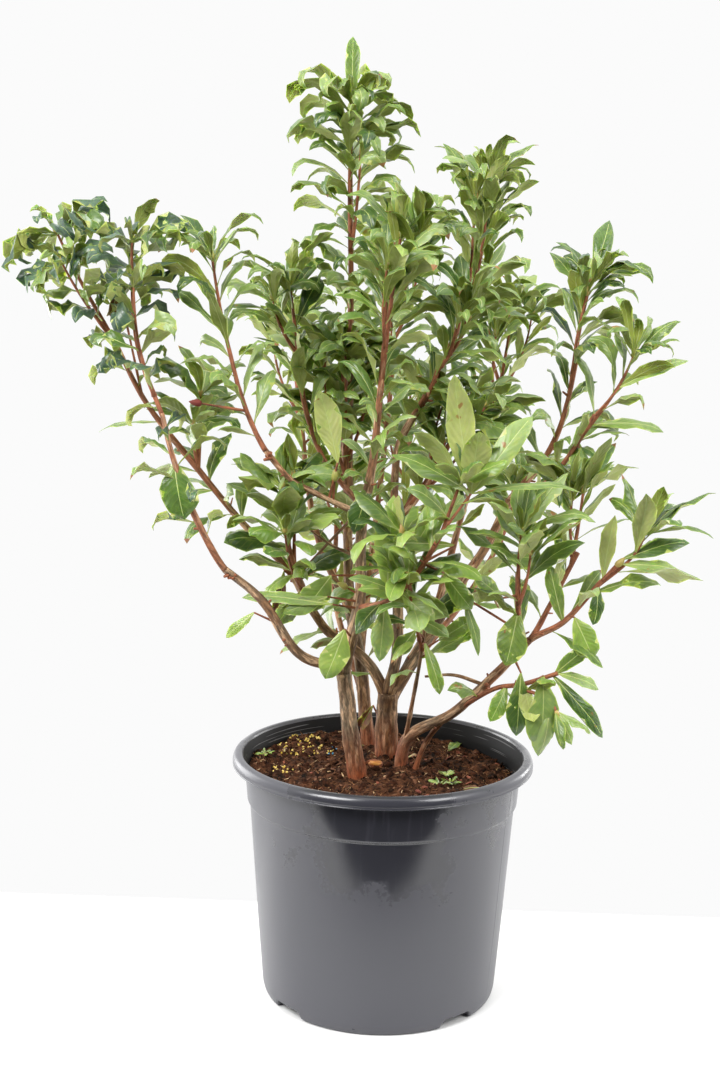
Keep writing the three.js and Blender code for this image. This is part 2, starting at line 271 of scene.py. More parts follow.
# %% [markdown]
# ## The pot
# A 20 litre nursery pot, injection moulded from recycled polypropylene. One wall is turned round an axis,
# with a rolled rim, a shoulder that stiffens its top, and a foot ring with drain notches. A turned profile
# is the natural way to draw it: a few corners, each rounded off, swept round in many steps. The notches and
# the thin line that the two halves of the mould leave are then pressed into the swept points.

# %% The pot's profile
# All sizes from here on are in millimetres, and MM turns a finished shape's points into metres.
POT_HEIGHT, RIM_RADIUS, RIM_DEPTH = 286, 175, 14
WALL_TOP_RADIUS, WALL_FOOT_RADIUS, WALL = 160, 137, 2.6
SHOULDER_HEIGHT, SHOULDER_STEP = 228, 3
PAD_RADIUS, FOOT_INNER_RADIUS, FOOT_LIFT = 88, 113, 9
WALL_ROWS = (90, 160)  # heights of two more rings, which keep the tall wall's faces short
NOTCH_COUNT, NOTCH_HEIGHT, NOTCH_HALF_WIDTH, NOTCH_TURN = 4, 11, 24, math.radians(-140)


def wall_radius(z):
    run = z / (POT_HEIGHT - RIM_DEPTH)
    return WALL_FOOT_RADIUS + (WALL_TOP_RADIUS - SHOULDER_STEP - WALL_FOOT_RADIUS) * run


def pot_inside(z):
    """Inner radius of the pot above its shoulder."""
    return wall_radius(z) + SHOULDER_STEP - WALL


def rounded(corners, steps=5):
    """Rounds each corner (radius, height, rounding) of a profile by a short curve."""
    spots = [np.array(corner[:2], float) for corner in corners]
    drawn = [spots[0]]
    for before, spot, after, (_, _, rounding) in zip(spots, spots[1:], spots[2:], corners[1:]):
        reach = [min(rounding, 0.45 * np.linalg.norm(end - spot)) for end in (before, after)]
        ways = [(end - spot) / np.linalg.norm(end - spot) for end in (before, after)]
        start, end = (spot + way * length for way, length in zip(ways, reach))
        for t in np.linspace(0, 1, steps):
            drawn.append((1 - t) ** 2 * start + 2 * t * (1 - t) * spot + t * t * end)
    return np.array([*drawn, spots[-1]])


rim_foot = POT_HEIGHT - RIM_DEPTH
shoulder_radius = wall_radius(SHOULDER_HEIGHT)
POT_PROFILE = rounded([
    (0, 0, 0),
    (PAD_RADIUS, 0, 2),
    (PAD_RADIUS + FOOT_LIFT, FOOT_LIFT, 2),
    (FOOT_INNER_RADIUS - FOOT_LIFT / 2, FOOT_LIFT, 2),
    (FOOT_INNER_RADIUS, 0, 2),
    (WALL_FOOT_RADIUS - WALL, 0, 4),
    (WALL_FOOT_RADIUS, FOOT_LIFT, 3),
    *((wall_radius(z), z, 1) for z in WALL_ROWS),
    (shoulder_radius, SHOULDER_HEIGHT, 1),
    (shoulder_radius + SHOULDER_STEP, SHOULDER_HEIGHT + SHOULDER_STEP, 1.5),
    (WALL_TOP_RADIUS - 0.5, rim_foot - 6, 1),
    (WALL_TOP_RADIUS, rim_foot - 0.5, 1),
    (RIM_RADIUS - WALL, rim_foot, 0.8),
    (RIM_RADIUS - 0.7, rim_foot + 1, 0.8),
    (RIM_RADIUS - 1.6, rim_foot + 2.4, 0.8),
    (RIM_RADIUS - 0.6, POT_HEIGHT - 8.5, 4),
    (RIM_RADIUS - 3, POT_HEIGHT - 2.2, 4),
    (RIM_RADIUS - 8, POT_HEIGHT, 4),
    (WALL_TOP_RADIUS + 3, POT_HEIGHT - 0.8, 3),
    (pot_inside(rim_foot), rim_foot - 6, 4),
    (pot_inside(SHOULDER_HEIGHT + SHOULDER_STEP), SHOULDER_HEIGHT + SHOULDER_STEP, 1),
    (wall_radius(SHOULDER_HEIGHT) - WALL, SHOULDER_HEIGHT, 1),
    (wall_radius(FOOT_LIFT) - WALL, NOTCH_HEIGHT + 4, 3),
    (FOOT_INNER_RADIUS, NOTCH_HEIGHT + 2 * WALL, 2),
    (PAD_RADIUS + FOOT_LIFT, FOOT_LIFT + 2 * WALL, 2),
    (PAD_RADIUS - WALL, WALL, 2),
    (0, WALL, 0),
])
print("pot profile:", len(POT_PROFILE), "points")

# %% [markdown]
# Turning it: every point of the profile is repeated at each step round the axis, which gives one grid of
# radii and one of heights. The Screw modifier would turn the wall as well, but on grids the mould line is
# simply added and the notches are cut by a maximum. The mould line has five close steps to hold its ridge.

# %% Turn the pot
SEAM_TURN = math.radians(-90 + 65)  # where the mould's halves met
SEAM_WIDTH, SEAM_HEIGHT = 0.9, 0.35
SEAM_REACH = 40  # how far in from the shoulder's radius the seam still runs
OUTER_SHARE = 0.45  # this much of the profile, from its start, is the outside
NOTCH_SLOPE = 2  # height over width of a notch's sides
POT_STEPS = 240

seam_turns = SEAM_TURN + np.array([-3, -1.5, 0, 1.5, 3]) * SEAM_WIDTH / WALL_TOP_RADIUS
turns = np.sort(np.concatenate([np.linspace(-math.pi, math.pi, POT_STEPS, endpoint=False), seam_turns]))
radius, height = (POT_PROFILE[:, i, None] + 0 * turns for i in (0, 1))
off_seam = (turns - SEAM_TURN) * WALL_TOP_RADIUS / SEAM_WIDTH
outside = np.arange(len(radius))[:, None] < len(radius) * OUTER_SHARE
on_outer_wall = outside & (radius > shoulder_radius - SEAM_REACH) & (height > FOOT_LIFT + 4)
radius = radius + SEAM_HEIGHT * np.exp(-(off_seam**2)) * on_outer_wall
for k in range(NOTCH_COUNT):
    apart = (turns - NOTCH_TURN - k * 2 * math.pi / NOTCH_COUNT + math.pi) % (2 * math.pi) - math.pi
    slope = (NOTCH_HALF_WIDTH - np.abs(apart) * WALL_FOOT_RADIUS) * NOTCH_SLOPE
    floor = np.clip(slope, 0, NOTCH_HEIGHT) * (radius > FOOT_INNER_RADIUS - FOOT_LIFT / 2)
    height = np.maximum(height, floor)
pot_points = np.stack([radius * np.cos(turns), radius * np.sin(turns), height], -1)[1:-1] * MM
pot_points = pot_points.reshape(-1, 3)
pot_faces = tube_faces(len(POT_PROFILE) - 2, len(turns))
print("pot:", len(pot_points), "points, with", NOTCH_COUNT, "notches", NOTCH_HEIGHT, "mm high")

# %% [markdown]
# The finish of the pot: black polypropylene with carbon black in it. Moulding gives a soft satin, cooling
# and handling give cloudy patches that shine more or less, and a nursery leaves pale dust and fine upright
# scuffs. On top of these, a painted reflection keeps the middle of the pot, front and back, darker and
# glossier and its flanks paler, for the dim room on the viewer's side and the bright surround at the edges.
# It is also paler and more matt towards the foot. So the colour stays near black, and most of what the eye
# sees is the roughness changing. Its IOR is a little over the plastic's own 1.5, for the film of wax that
# comes out of it.

# %% Moulded black polypropylene
CLOUD_SIZE = 90.9  # the space that a patch and the gap beside it take
SCUFF_WIDTH, SCUFF_LENGTH = 6.25, 143
GRAIN_SIZE = 1.111  # the mould's real grain is about 0.2 mm, which is too fine to show

pot_material, tree = new_material("moulded_black_polypropylene")
place_on = add(tree, "ShaderNodeTexCoord").outputs["Object"]
clouds = add(tree, "ShaderNodeTexNoise", {
    "Vector": place_on,
    "Scale": per_metre(CLOUD_SIZE),
    "Detail": 8,
    "Roughness": 0.68,
})
upright = add(tree, "ShaderNodeMapping", {
    "Vector": place_on,
    "Scale": (per_metre(SCUFF_WIDTH), per_metre(SCUFF_WIDTH), per_metre(SCUFF_LENGTH)),
})
scuffs = add(tree, "ShaderNodeTexNoise", {"Vector": upright.outputs[0], "Scale": 1, "Detail": 3})
where = add(tree, "ShaderNodeSeparateXYZ", {0: place_on})
aside = add(tree, "ShaderNodeMath", {0: where.outputs["X"]}, operation="ABSOLUTE")
# Painted reflection: the middle of the pot, front and back, gets less film, so it is darker and glossier, and
# the flanks get more, so they are paler.
painted_reflection_flank = add(tree, "ShaderNodeMapRange", {0: aside.outputs[0], 1: 0.03, 2: 0.09, 3: -0.08, 4: 0.1})
# More film towards the foot, so the plastic is paler and more matt there.
low_down = add(tree, "ShaderNodeMapRange", {0: where.outputs["Z"], 1: 0.09, 2: 0.2, 3: 0.24, 4: 0.0})
rubbed = add(tree, "ShaderNodeMapRange", {0: where.outputs["Z"], 1: 0.269, 2: 0.272, 3: 0.0, 4: 0.42})
flank_reflection_and_foot = add(tree, "ShaderNodeMath", {0: painted_reflection_flank.outputs[0], 1: low_down.outputs[0]}, operation="ADD")
clouds_and_flank_reflection = add(tree, "ShaderNodeMath", {0: clouds.outputs["Fac"], 1: flank_reflection_and_foot.outputs[0]}, operation="ADD")
dust_and_flank_reflection = add(tree, "ShaderNodeMapRange", {0: clouds_and_flank_reflection.outputs[0], 1: 0.48, 2: 0.54, 3: 0.0, 4: 1.0})
scuffed = add(tree, "ShaderNodeMapRange", {0: scuffs.outputs["Fac"], 1: 0.56, 2: 0.75, 3: 0.0, 4: 0.5})
film_and_flank_reflection = add(tree, "ShaderNodeMath", {0: dust_and_flank_reflection.outputs[0], 1: scuffed.outputs[0]}, operation="MAXIMUM")
film_and_flank_reflection = add(tree, "ShaderNodeMath", {0: film_and_flank_reflection.outputs[0], 1: rubbed.outputs[0]}, operation="MAXIMUM")
colour = add(tree, "ShaderNodeMix", {
    0: film_and_flank_reflection.outputs[0],
    6: linear("#2c2c32"),
    7: linear("#3f3f46"),
}, data_type="RGBA")
satin = add(tree, "ShaderNodeMapRange", {0: film_and_flank_reflection.outputs[0], 3: 0.1, 4: 0.37})
grain = add(tree, "ShaderNodeTexNoise", {"Vector": place_on, "Scale": per_metre(GRAIN_SIZE), "Detail": 2})
relief = add(tree, "ShaderNodeBump", {"Height": grain.outputs["Fac"], "Strength": 0.12, "Distance": 0.0004})
shader = add(tree, "ShaderNodeBsdfPrincipled", {
    "Base Color": colour.outputs[2],
    "Roughness": satin.outputs[0],
    "Normal": relief.outputs[0],
    "IOR": 1.6,
})
add(tree, "ShaderNodeOutputMaterial", {"Surface": shader.outputs[0]})
print(pot_material.name, "has", len(tree.nodes), "nodes")

# %% [markdown]
# The inside of the pot is the same plastic, but damp, soiled and scratched by trowels. Peat takes its shine,
# and the scratches cut through to paler plastic. Noise that is stretched along a slanting line draws them.
# Both finishes are on one piece, since the pot is one moulding: its inner faces take the second one.

# %% The soiled inside of the pot
SCRATCH_WIDTH, SCRATCH_LENGTH = 2.381, 111  # real ones are some 0.3 mm wide, which is too fine to show
RIM_TOP = 3  # the rim's rounded top is this deep, and the inside starts after it

soiled_material, tree = new_material("soiled_black_polypropylene")
place_on = add(tree, "ShaderNodeTexCoord").outputs["Object"]
slanting = add(tree, "ShaderNodeMapping", {
    "Vector": place_on,
    "Rotation": (0.3, 0.5, 0.4),
    "Scale": (per_metre(SCRATCH_LENGTH), per_metre(SCRATCH_LENGTH), per_metre(SCRATCH_WIDTH)),
})
scratches = add(tree, "ShaderNodeTexNoise", {"Vector": slanting.outputs[0], "Scale": 1, "Detail": 1})
pale = add(tree, "ShaderNodeMapRange", {0: scratches.outputs["Fac"], 1: 0.68, 2: 0.71, 3: 0.0, 4: 0.5})
colour = add(tree, "ShaderNodeMix", {
    0: pale.outputs[0],
    6: linear("#161617"),
    7: linear("#8a8a8c"),
}, data_type="RGBA")
shader = add(tree, "ShaderNodeBsdfPrincipled", {
    "Base Color": colour.outputs[2],
    "Roughness": 0.55,
    "Specular IOR Level": 0.2,
})
add(tree, "ShaderNodeOutputMaterial", {"Surface": shader.outputs[0]})
last_of_rim = np.flatnonzero(POT_PROFILE[1:-1, 1] > POT_HEIGHT - RIM_TOP)[-1]
inside = np.arange(len(POT_PROFILE) - 2) > last_of_rim
soiled = [int(inside[min(i // len(turns), len(inside) - 1)]) for i in range(len(pot_faces))]
pot = mesh_from("nursery_pot", pot_points, pot_faces, [pot_material, soiled_material], soiled)
settle(pot, "pot", "pot")

# %% [markdown]
# ## The compost
# Peat and composted bark, heaped a little to the back left and round the stems, and settled lower at the
# front. The heap is a height for every place inside the pot. Its crumbs are too many to place by hand, so
# Geometry Nodes strew them over the heap: dark crumbs, splinters of bark, and fine fibres.

# %% The compost's heap
SOIL_LEVEL, SOIL_TILT = 256.5, 8  # at the wall, and how much higher it lies at the back left
SOIL_MOUND, SOIL_MOUND_RADIUS = 6, 90
SOIL_ROUGHNESS, SOIL_WAVE = 2, 20
CLODS = ((25, 3.4), (11, 2.8), (5, 1.7))  # width and height of each size


def soil_height(x, y):
    """The compost's own height, in millimetres."""
    lean = SOIL_TILT * math.sqrt(0.5) * (y - x) / WALL_TOP_RADIUS
    mound = SOIL_MOUND * np.exp(-(np.hypot(x, y) / SOIL_MOUND_RADIUS) ** 2)
    rough = SOIL_ROUGHNESS * np.sin(x / SOIL_WAVE) * np.cos(y / SOIL_WAVE + 1)
    return SOIL_LEVEL + lean + mound + rough


def crumbled(x, y):
    """Adds small clods, of three sizes, to the heap."""
    clods = 0
    for size, depth in CLODS:
        turn = size * 1.7  # so that no two sizes run the same way
        u = (x * math.cos(turn) + y * math.sin(turn)) / size
        v = (y * math.cos(turn) - x * math.sin(turn)) / size
        clods = clods + depth * np.sin(u * 2 + np.sin(v * 1.3)) * np.sin(v * 2 + np.sin(u * 1.7) + size)
    return soil_height(x, y) + clods


low, high = round(soil_height(80, -80)), round(soil_height(-80, 80))
print("compost:", low, "mm up at the front right and", high, "mm at the back left")

# %% [markdown]
# The heap's mesh: rings of points from the middle to the wall. They stand closer together outwards, so that
# every ring covers the same area. The edge is stretched to meet the wall, and the underside follows the
# inside of the pot a millimetre or so off it. It is one closed tube of rings, like the pot.

# %% The heap's points
SOIL_RINGS, SOIL_SPOKES = 70, 200

spoke = np.linspace(0, 2 * math.pi, SOIL_SPOKES, endpoint=False)
share = np.sqrt(np.linspace(0.0002, 1, SOIL_RINGS))[:, None]
flat_edge = pot_inside(SOIL_LEVEL)
x, y = share * flat_edge * np.cos(spoke), share * flat_edge * np.sin(spoke)
z = np.where(share < 0.999, crumbled(x, y), soil_height(x, y))  # the ring at the wall has no clods
stretch = 1 + (pot_inside(z) / flat_edge - 1) * share
surface = np.stack([x * stretch, y * stretch, z], -1)
underside = [  # radii and heights that keep off the pot's floor and wall
    [[r * math.cos(a), r * math.sin(a), depth] for a in spoke]
    for r, depth in (
        (1, WALL + 1),
        (PAD_RADIUS - 2 * WALL, WALL + 1),
        (PAD_RADIUS + FOOT_LIFT, FOOT_LIFT + 2 * WALL + 1),
        (FOOT_INNER_RADIUS, NOTCH_HEIGHT + 2 * WALL + 1),
        (wall_radius(FOOT_LIFT) - WALL - 2, NOTCH_HEIGHT + 6),
        (wall_radius(SHOULDER_HEIGHT) - WALL - 0.5, SHOULDER_HEIGHT - 1),
    )
]
heap_points = np.concatenate([np.array(underside), surface[::-1]]).reshape(-1, 3) * MM
print("heap:", len(heap_points), "points, up to", round(z.max()), "mm")

# %% [markdown]
# Damp peat and composted bark: nearly black where it is wet and warm brown where it has dried, and without
# shine. Noise mixes the two colours, and the cells of a Voronoi pattern roughen the surface in between, as
# small bits do.

# %% Damp peat and bark compost
DRY_PATCH, BIT_SIZE = 11.11, 2.632

compost_material, tree = new_material("damp_peat_and_bark_compost")
place_on = add(tree, "ShaderNodeTexCoord").outputs["Object"]
clods = add(tree, "ShaderNodeTexNoise", {
    "Vector": place_on,
    "Scale": per_metre(DRY_PATCH),
    "Detail": 6,
    "Roughness": 0.7,
})
bits = add(tree, "ShaderNodeTexVoronoi", {"Vector": place_on, "Scale": per_metre(BIT_SIZE)})
dark = add(tree, "ShaderNodeMapRange", {0: clods.outputs["Fac"], 1: 0.38, 2: 0.66})
colour = add(tree, "ShaderNodeMix", {
    0: dark.outputs[0],
    6: linear("#130a05"),
    7: linear("#66402a"),
}, data_type="RGBA")
height = add(tree, "ShaderNodeMath", {0: clods.outputs["Fac"], 1: bits.outputs["Distance"]})
relief = add(tree, "ShaderNodeBump", {"Height": height.outputs[0], "Strength": 0.9, "Distance": 0.002})
shader = add(tree, "ShaderNodeBsdfPrincipled", {
    "Base Color": colour.outputs[2],
    "Roughness": 0.9,
    "Specular IOR Level": 0.15,
    "Normal": relief.outputs[0],
})
add(tree, "ShaderNodeOutputMaterial", {"Surface": shader.outputs[0]})
heap_faces = tube_faces(len(underside) + SOIL_RINGS, SOIL_SPOKES)
compost = mesh_from("compost_heap", heap_points, heap_faces, [compost_material])
settle(compost, "compost", "compost")

# %% [markdown]
# Strewing the crumbs: one Geometry Nodes tree picks random places on the heap, puts a small stone-like or
# stick-like body on each, turns and stretches it at random, and makes the copies real. It is used once for
# each kind of crumb, with its own sizes, number and seed.


# %% A tree that strews crumbs
def strewing_tree():
    tree = bpy.data.node_groups.new("strew_crumbs", "GeometryNodeTree")
    face = tree.interface
    face.new_socket("Geometry", in_out="INPUT", socket_type="NodeSocketGeometry")
    for name, kind in (
        ("Per square metre", "NodeSocketFloat"),
        ("Smallest", "NodeSocketVector"),
        ("Largest", "NodeSocketVector"),
        ("Steepest", "NodeSocketFloat"),
        ("Seed", "NodeSocketInt"),
        ("Material", "NodeSocketMaterial"),
    ):
        face.new_socket(name, in_out="INPUT", socket_type=kind)
    face.new_socket("Geometry", in_out="OUTPUT", socket_type="NodeSocketGeometry")
    given = add(tree, "NodeGroupInput").outputs
    spots = add(tree, "GeometryNodeDistributePointsOnFaces", {
        "Mesh": given["Geometry"],
        "Density": given["Per square metre"],
        "Seed": given["Seed"],
    })
    body = add(tree, "GeometryNodeMeshIcoSphere", {"Radius": 1.0, "Subdivisions": 1})
    tip = add(tree, "ShaderNodeCombineXYZ", {0: given["Steepest"], 1: given["Steepest"], 2: math.pi})
    lean = add(tree, "ShaderNodeVectorMath", {0: tip.outputs[0], "Scale": -1.0}, operation="SCALE")
    turned = add(tree, "FunctionNodeRandomValue", {
        0: lean.outputs[0],
        1: tip.outputs[0],
        "Seed": given["Seed"],
    }, data_type="FLOAT_VECTOR")
    sized = add(tree, "FunctionNodeRandomValue", {
        0: given["Smallest"],
        1: given["Largest"],
        "Seed": given["Seed"],
    }, data_type="FLOAT_VECTOR")
    strewn = add(tree, "GeometryNodeInstanceOnPoints", {
        "Points": spots.outputs["Points"],
        "Instance": body.outputs["Mesh"],
        "Rotation": turned.outputs[0],
        "Scale": sized.outputs[0],
    })
    real = add(tree, "GeometryNodeRealizeInstances", {"Geometry": strewn.outputs[0]})
    coloured = add(tree, "GeometryNodeSetMaterial", {
        "Geometry": real.outputs[0],
        "Material": given["Material"],
    })
    add(tree, "NodeGroupOutput", {0: coloured.outputs[0]})
    return tree


def strew(name, surface, tree, settings):
    """Strews one kind of crumb over a surface and returns it as a plain mesh piece."""
    modifier = surface.modifiers.new("strew", "NODES")
    modifier.node_group = tree
    for item in tree.interface.items_tree:
        if item.in_out == "INPUT" and item.name in settings:
            modifier[item.identifier] = settings[item.name]
    bpy.context.view_layer.update()
    evaluated = surface.evaluated_get(bpy.context.evaluated_depsgraph_get())
    mesh = bpy.data.meshes.new_from_object(evaluated)
    surface.modifiers.remove(modifier)
    mesh.name = name
    piece = bpy.data.objects.new(name, mesh)
    bpy.context.scene.collection.objects.link(piece)
    return piece


strewing = strewing_tree()
print("strewing tree:", len(strewing.nodes), "nodes")

# %% [markdown]
# What lies on the heap: crumbs and clods of peat, chips and splinters of composted bark, and dry root fibres.
# All are matt and mottled between a dark and a light colour, and only the red bark, which is the freshest,
# has a dull sheen. They are counted to the square metre, so that a wider heap would get more of them.

# %% Strew the crumbs
MOTTLE_SIZE = 6.25
HEAP_SHARE = 0.985  # of its radius that crumbs lie on, clear of the wall


def crumb_material(name, dark_hex, light_hex, roughness):
    """A matt, broken surface between two colours, from crumb to crumb."""
    material, tree = new_material(name)
    place_on = add(tree, "ShaderNodeTexCoord").outputs["Object"]
    mottle = add(tree, "ShaderNodeTexNoise", {
        "Vector": place_on,
        "Scale": per_metre(MOTTLE_SIZE),
        "Detail": 3,
    })
    wide = add(tree, "ShaderNodeMapRange", {0: mottle.outputs["Fac"], 1: 0.35, 2: 0.65})
    colour = add(tree, "ShaderNodeMix", {
        0: wide.outputs[0],
        6: linear(dark_hex),
        7: linear(light_hex),
    }, data_type="RGBA")
    shader = add(tree, "ShaderNodeBsdfPrincipled", {
        "Base Color": colour.outputs[2],
        "Roughness": roughness,
        "Specular IOR Level": 0.8 * (1 - roughness) + 0.1,
    })
    add(tree, "ShaderNodeOutputMaterial", {"Surface": shader.outputs[0]})
    return material


CRUMBS = {  # per square metre, smallest and largest half-sizes, steepest lean in radians, and finish
    "peat_crumbs": (42000, (0.6, 0.5, 0.4), (2.6, 2.2, 1.5), 1.5, "crumbled_peat"),
    "peat_clods": (2600, (2.5, 2.2, 1.6), (7.5, 6.0, 4.2), 1.5, "clodded_peat"),
    "bark_chips": (3400, (1.8, 1.0, 0.5), (7.5, 3.4, 1.3), 0.8, "composted_bark"),
    "red_bark_chips": (420, (2.5, 1.8, 1.0), (6.5, 4.0, 2.4), 0.7, "red_bark"),
    "pale_splinters": (2500, (1.5, 0.4, 0.3), (8.0, 1.1, 0.8), 0.7, "wood_splinters"),
    "root_fibres": (7000, (2.5, 0.18, 0.18), (12, 0.35, 0.35), 0.6, "dry_root_fibre"),
}
CRUMB_FINISHES = {  # dark and light colour, and roughness
    "crumbled_peat": ("#130a06", "#523423", 0.95),
    "clodded_peat": ("#120904", "#48291a", 0.95),
    "composted_bark": ("#452819", "#775038", 0.8),
    "red_bark": ("#6e3526", "#94543c", 0.7),
    "wood_splinters": ("#96744e", "#cfb088", 0.8),
    "dry_root_fibre": ("#5a3822", "#a87850", 0.9),
}
inner = share[:, 0] < HEAP_SHARE
bed_faces = tube_faces(inner.sum(), SOIL_SPOKES)[:-2]
crumb_bed = mesh_from("crumb_bed", surface[inner].reshape(-1, 3) * MM, bed_faces, [])
for seed, (name, (density, smallest, largest, steepest, finish)) in enumerate(CRUMBS.items()):
    crumbs = strew(name, crumb_bed, strewing, {
        "Per square metre": float(density),
        "Smallest": [size * MM for size in smallest],
        "Largest": [size * MM for size in largest],
        "Steepest": steepest,
        "Seed": seed,
        "Material": crumb_material(finish, *CRUMB_FINISHES[finish]),
    })
    settle(crumbs, "compost")
bpy.data.objects.remove(crumb_bed)

# %% [markdown]
# Fertiliser beads: balls of plant food in a coat of coloured resin, nearly round and a little shiny. They lie
# in patches where they were dropped, so the same tree strews them over small round beds of their own.

# %% Fertiliser beads
BED_RINGS = 8
BEAD_LIFT = 1.5  # a bead lies on the crumbs
SMALLEST_BEAD, LARGEST_BEAD = 1.0, 1.8  # radii
BEAD_PATCHES = {  # middle, radius, number of beads, and finish
    "yellow_beads_left": ((-92, 82), 38, 58, ("coated_fertiliser", "#c9a53a", "#e8d070", 0.35)),
    "yellow_beads_front": ((-117, -6), 15, 14, ("coated_fertiliser_front", "#c9a53a", "#e8d070", 0.35)),
    "blue_beads": ((-82, 62), 34, 3, ("blue_fertiliser", "#1f6f9c", "#3f95bb", 0.4)),
}
bed_spokes = spoke[::8]
for seed, (name, (middle, reach, count, finish)) in enumerate(BEAD_PATCHES.items()):
    rings = np.linspace(0.02, reach, BED_RINGS)[:, None]
    x, y = middle[0] + rings * np.cos(bed_spokes), middle[1] + rings * np.sin(bed_spokes)
    patch = np.stack([x, y, crumbled(x, y) + BEAD_LIFT], -1)[::-1].reshape(-1, 3) * MM
    bead_bed = mesh_from("bead_bed", patch, tube_faces(BED_RINGS, len(bed_spokes))[:-2], [])
    beads = strew(name, bead_bed, strewing, {
        "Per square metre": count / (math.pi * (reach * MM) ** 2),
        "Smallest": [SMALLEST_BEAD * MM] * 3,
        "Largest": [LARGEST_BEAD * MM] * 3,
        "Steepest": 1.5,
        "Seed": seed,
        "Material": crumb_material(*finish),
    })
    bpy.data.objects.remove(bead_bed)
    settle(beads, "compost")

# %% [markdown]
# ## The limbs
# Several stems rise from the compost. Boughs leave them, bend, and taper to the shoots. Each limb is drawn
# along one smooth curve through its bends, and a limb that leaves another starts at a share of that other's
# length, so that moving a stem moves all it carries. These are the same stops and half-widths, in
# millimetres, as the frame's plain limbs have.

# %% Where the limbs run
LIMBS = {
    "stem_left": dict(stops=[(-26, -8, 235), (-39, -30, 326), (-47, -40, 388)], girth=(10.5, 9), flare=4),
    "stem_centre": dict(stops=[(5, 62, 235), (5, 52, 300), (5, 40, 345)], girth=(14, 12.5), flare=4),
    "stem_right": dict(
        stops=[(20, 12, 235), (28, 2, 299), (80, -34, 343), (129, -60, 401), (158, -70, 436)],
        girth=(7.5, 4.2),
        flare=2,
    ),
    "stem_leader": dict(
        stops=[
            (-14, 100, 235), (-27, 88, 362), (-42, 92, 445),
            (-46, 90, 567), (-46, 80, 687), (-47, 55, 865),
        ],
        girth=(8.2, 2.8),
        flare=2,
    ),
    "bough_left_low": dict(
        stops=[("stem_left", 1), (-95, -60, 412), (-137, -80, 477), (-176, -90, 512)],
        girth=(6, 4.4),
        old=0.4,
    ),
    "bough_left_low_upper": dict(
        stops=[("bough_left_low", 1), (-213, -100, 583), (-232, -100, 636), (-243, -97, 680)],
        girth=(4, 2.7),
        old=0.12,
    ),
    "bough_left_long": dict(
        stops=[("stem_centre", 0.93), (-16, 46, 375), (-35, 50, 393), (-70, 50, 418), (-108, 30, 485)],
        girth=(6.6, 4.8),
        old=0.4,
    ),
    "bough_left_long_upper": dict(
        stops=[("bough_left_long", 1), (-163, 10, 546), (-218, -10, 616), (-271, -30, 689), (-303, -38, 755)],
        girth=(4.4, 2.7),
        old=0.12,
    ),
    "bough_front": dict(
        stops=[("stem_left", 1), (-30, -30, 469), (-30, -20, 542), (-17, -30, 638), (-8, -40, 755)],
        girth=(8, 3),
    ),
    "bough_front_low": dict(
        stops=[("bough_front", 0.2), (6, -90, 484), (29, -110, 513), (62, -133, 575)],
        girth=(3.3, 2.4),
    ),
    "bough_centre": dict(
        stops=[("stem_centre", 1), (15, 40, 395), (8, 40, 602), (14, 40, 643), (48, 40, 707), (78, 50, 772)],
        girth=(7.2, 3),
    ),
    "bough_centre_side": dict(stops=[("bough_centre", 0.78), (45, 5, 705), (55, -8, 735)], girth=(2.9, 2.3)),
    "bough_right": dict(
        stops=[("stem_centre", 0.9), (40, 50, 391), (85, 60, 468), (114, 70, 509), (145, 70, 573)],
        girth=(8.6, 4.6),
    ),
    "bough_right_upper": dict(
        stops=[("bough_right", 1), (178, 60, 616), (194, 50, 650), (205, 50, 688), (214, 42, 745)],
        girth=(4, 2.7),
    ),
    "bough_right_second": dict(
        stops=[("bough_right", 0.93), (171, 30, 582), (202, 10, 629), (230, -2, 680)],
        girth=(3.6, 2.7),
    ),
    "bough_right_low": dict(stops=[("stem_right", 1), (192, -80, 458), (230, -95, 508)], girth=(3.6, 2.6)),
    "bough_right_low_back": dict(
        stops=[("stem_right", 1), (181, -60, 475), (211, -43, 530)],
        girth=(3.4, 2.6),
    ),
    "bough_right_low_inner": dict(
        stops=[("stem_right", 0.96), (143, -80, 471), (140, -90, 515)],
        girth=(3.2, 2.5),
    ),
    "bough_right_hanging": dict(
        stops=[("stem_right", 0.55), (124, -70, 381), (150, -80, 388), (187, -95, 405)],
        girth=(3, 2.4),
    ),
    "bough_thin": dict(
        stops=[("stem_right", 0.2), (37, -32, 385), (44, -45, 447)],
        girth=(2.6, 2.2),
        old=0.35,
    ),
    "bough_left_back": dict(
        stops=[("bough_front", 0.5), (-75, 30, 623), (-97, 40, 681), (-107, 40, 750)],
        girth=(3.4, 2.6),
    ),
    "bough_left_third": dict(
        stops=[("bough_front", 0.48), (-81, -50, 592), (-109, -60, 609), (-135, -70, 640)],
        girth=(3.6, 3.1),
        old=0.25,
    ),
    "bough_left_third_upper": dict(
        stops=[("bough_left_third", 1), (-152, -70, 673), (-166, -70, 712)],
        girth=(3.1, 2.6),
    ),
    "bough_back_left": dict(stops=[("stem_leader", 0.3), (-85, 140, 520), (-108, 190, 655)], girth=(5, 2.8)),
    "bough_back_centre": dict(stops=[("stem_leader", 0.22), (-10, 160, 550), (5, 205, 700)], girth=(5, 2.8)),
    "bough_back_right": dict(stops=[("bough_right", 0.35), (95, 140, 550), (135, 190, 665)], girth=(5, 2.8)),
    "bough_back_low_left": dict(
        stops=[("stem_leader", 0.14), (-60, 150, 430), (-62, 225, 505)],
        girth=(4.6, 2.8),
    ),
    "bough_back_low_right": dict(
        stops=[("bough_right", 0.15), (105, 160, 440), (152, 230, 500)],
        girth=(4.6, 2.8),
    ),
    "bough_back_far": dict(
        stops=[("bough_back_centre", 0.3), (20, 240, 480), (28, 300, 570)],
        girth=(4.2, 2.8),
    ),
}
print("limbs:", len(LIMBS), "and stems from the compost:", sum(name.startswith("stem") for name in LIMBS))

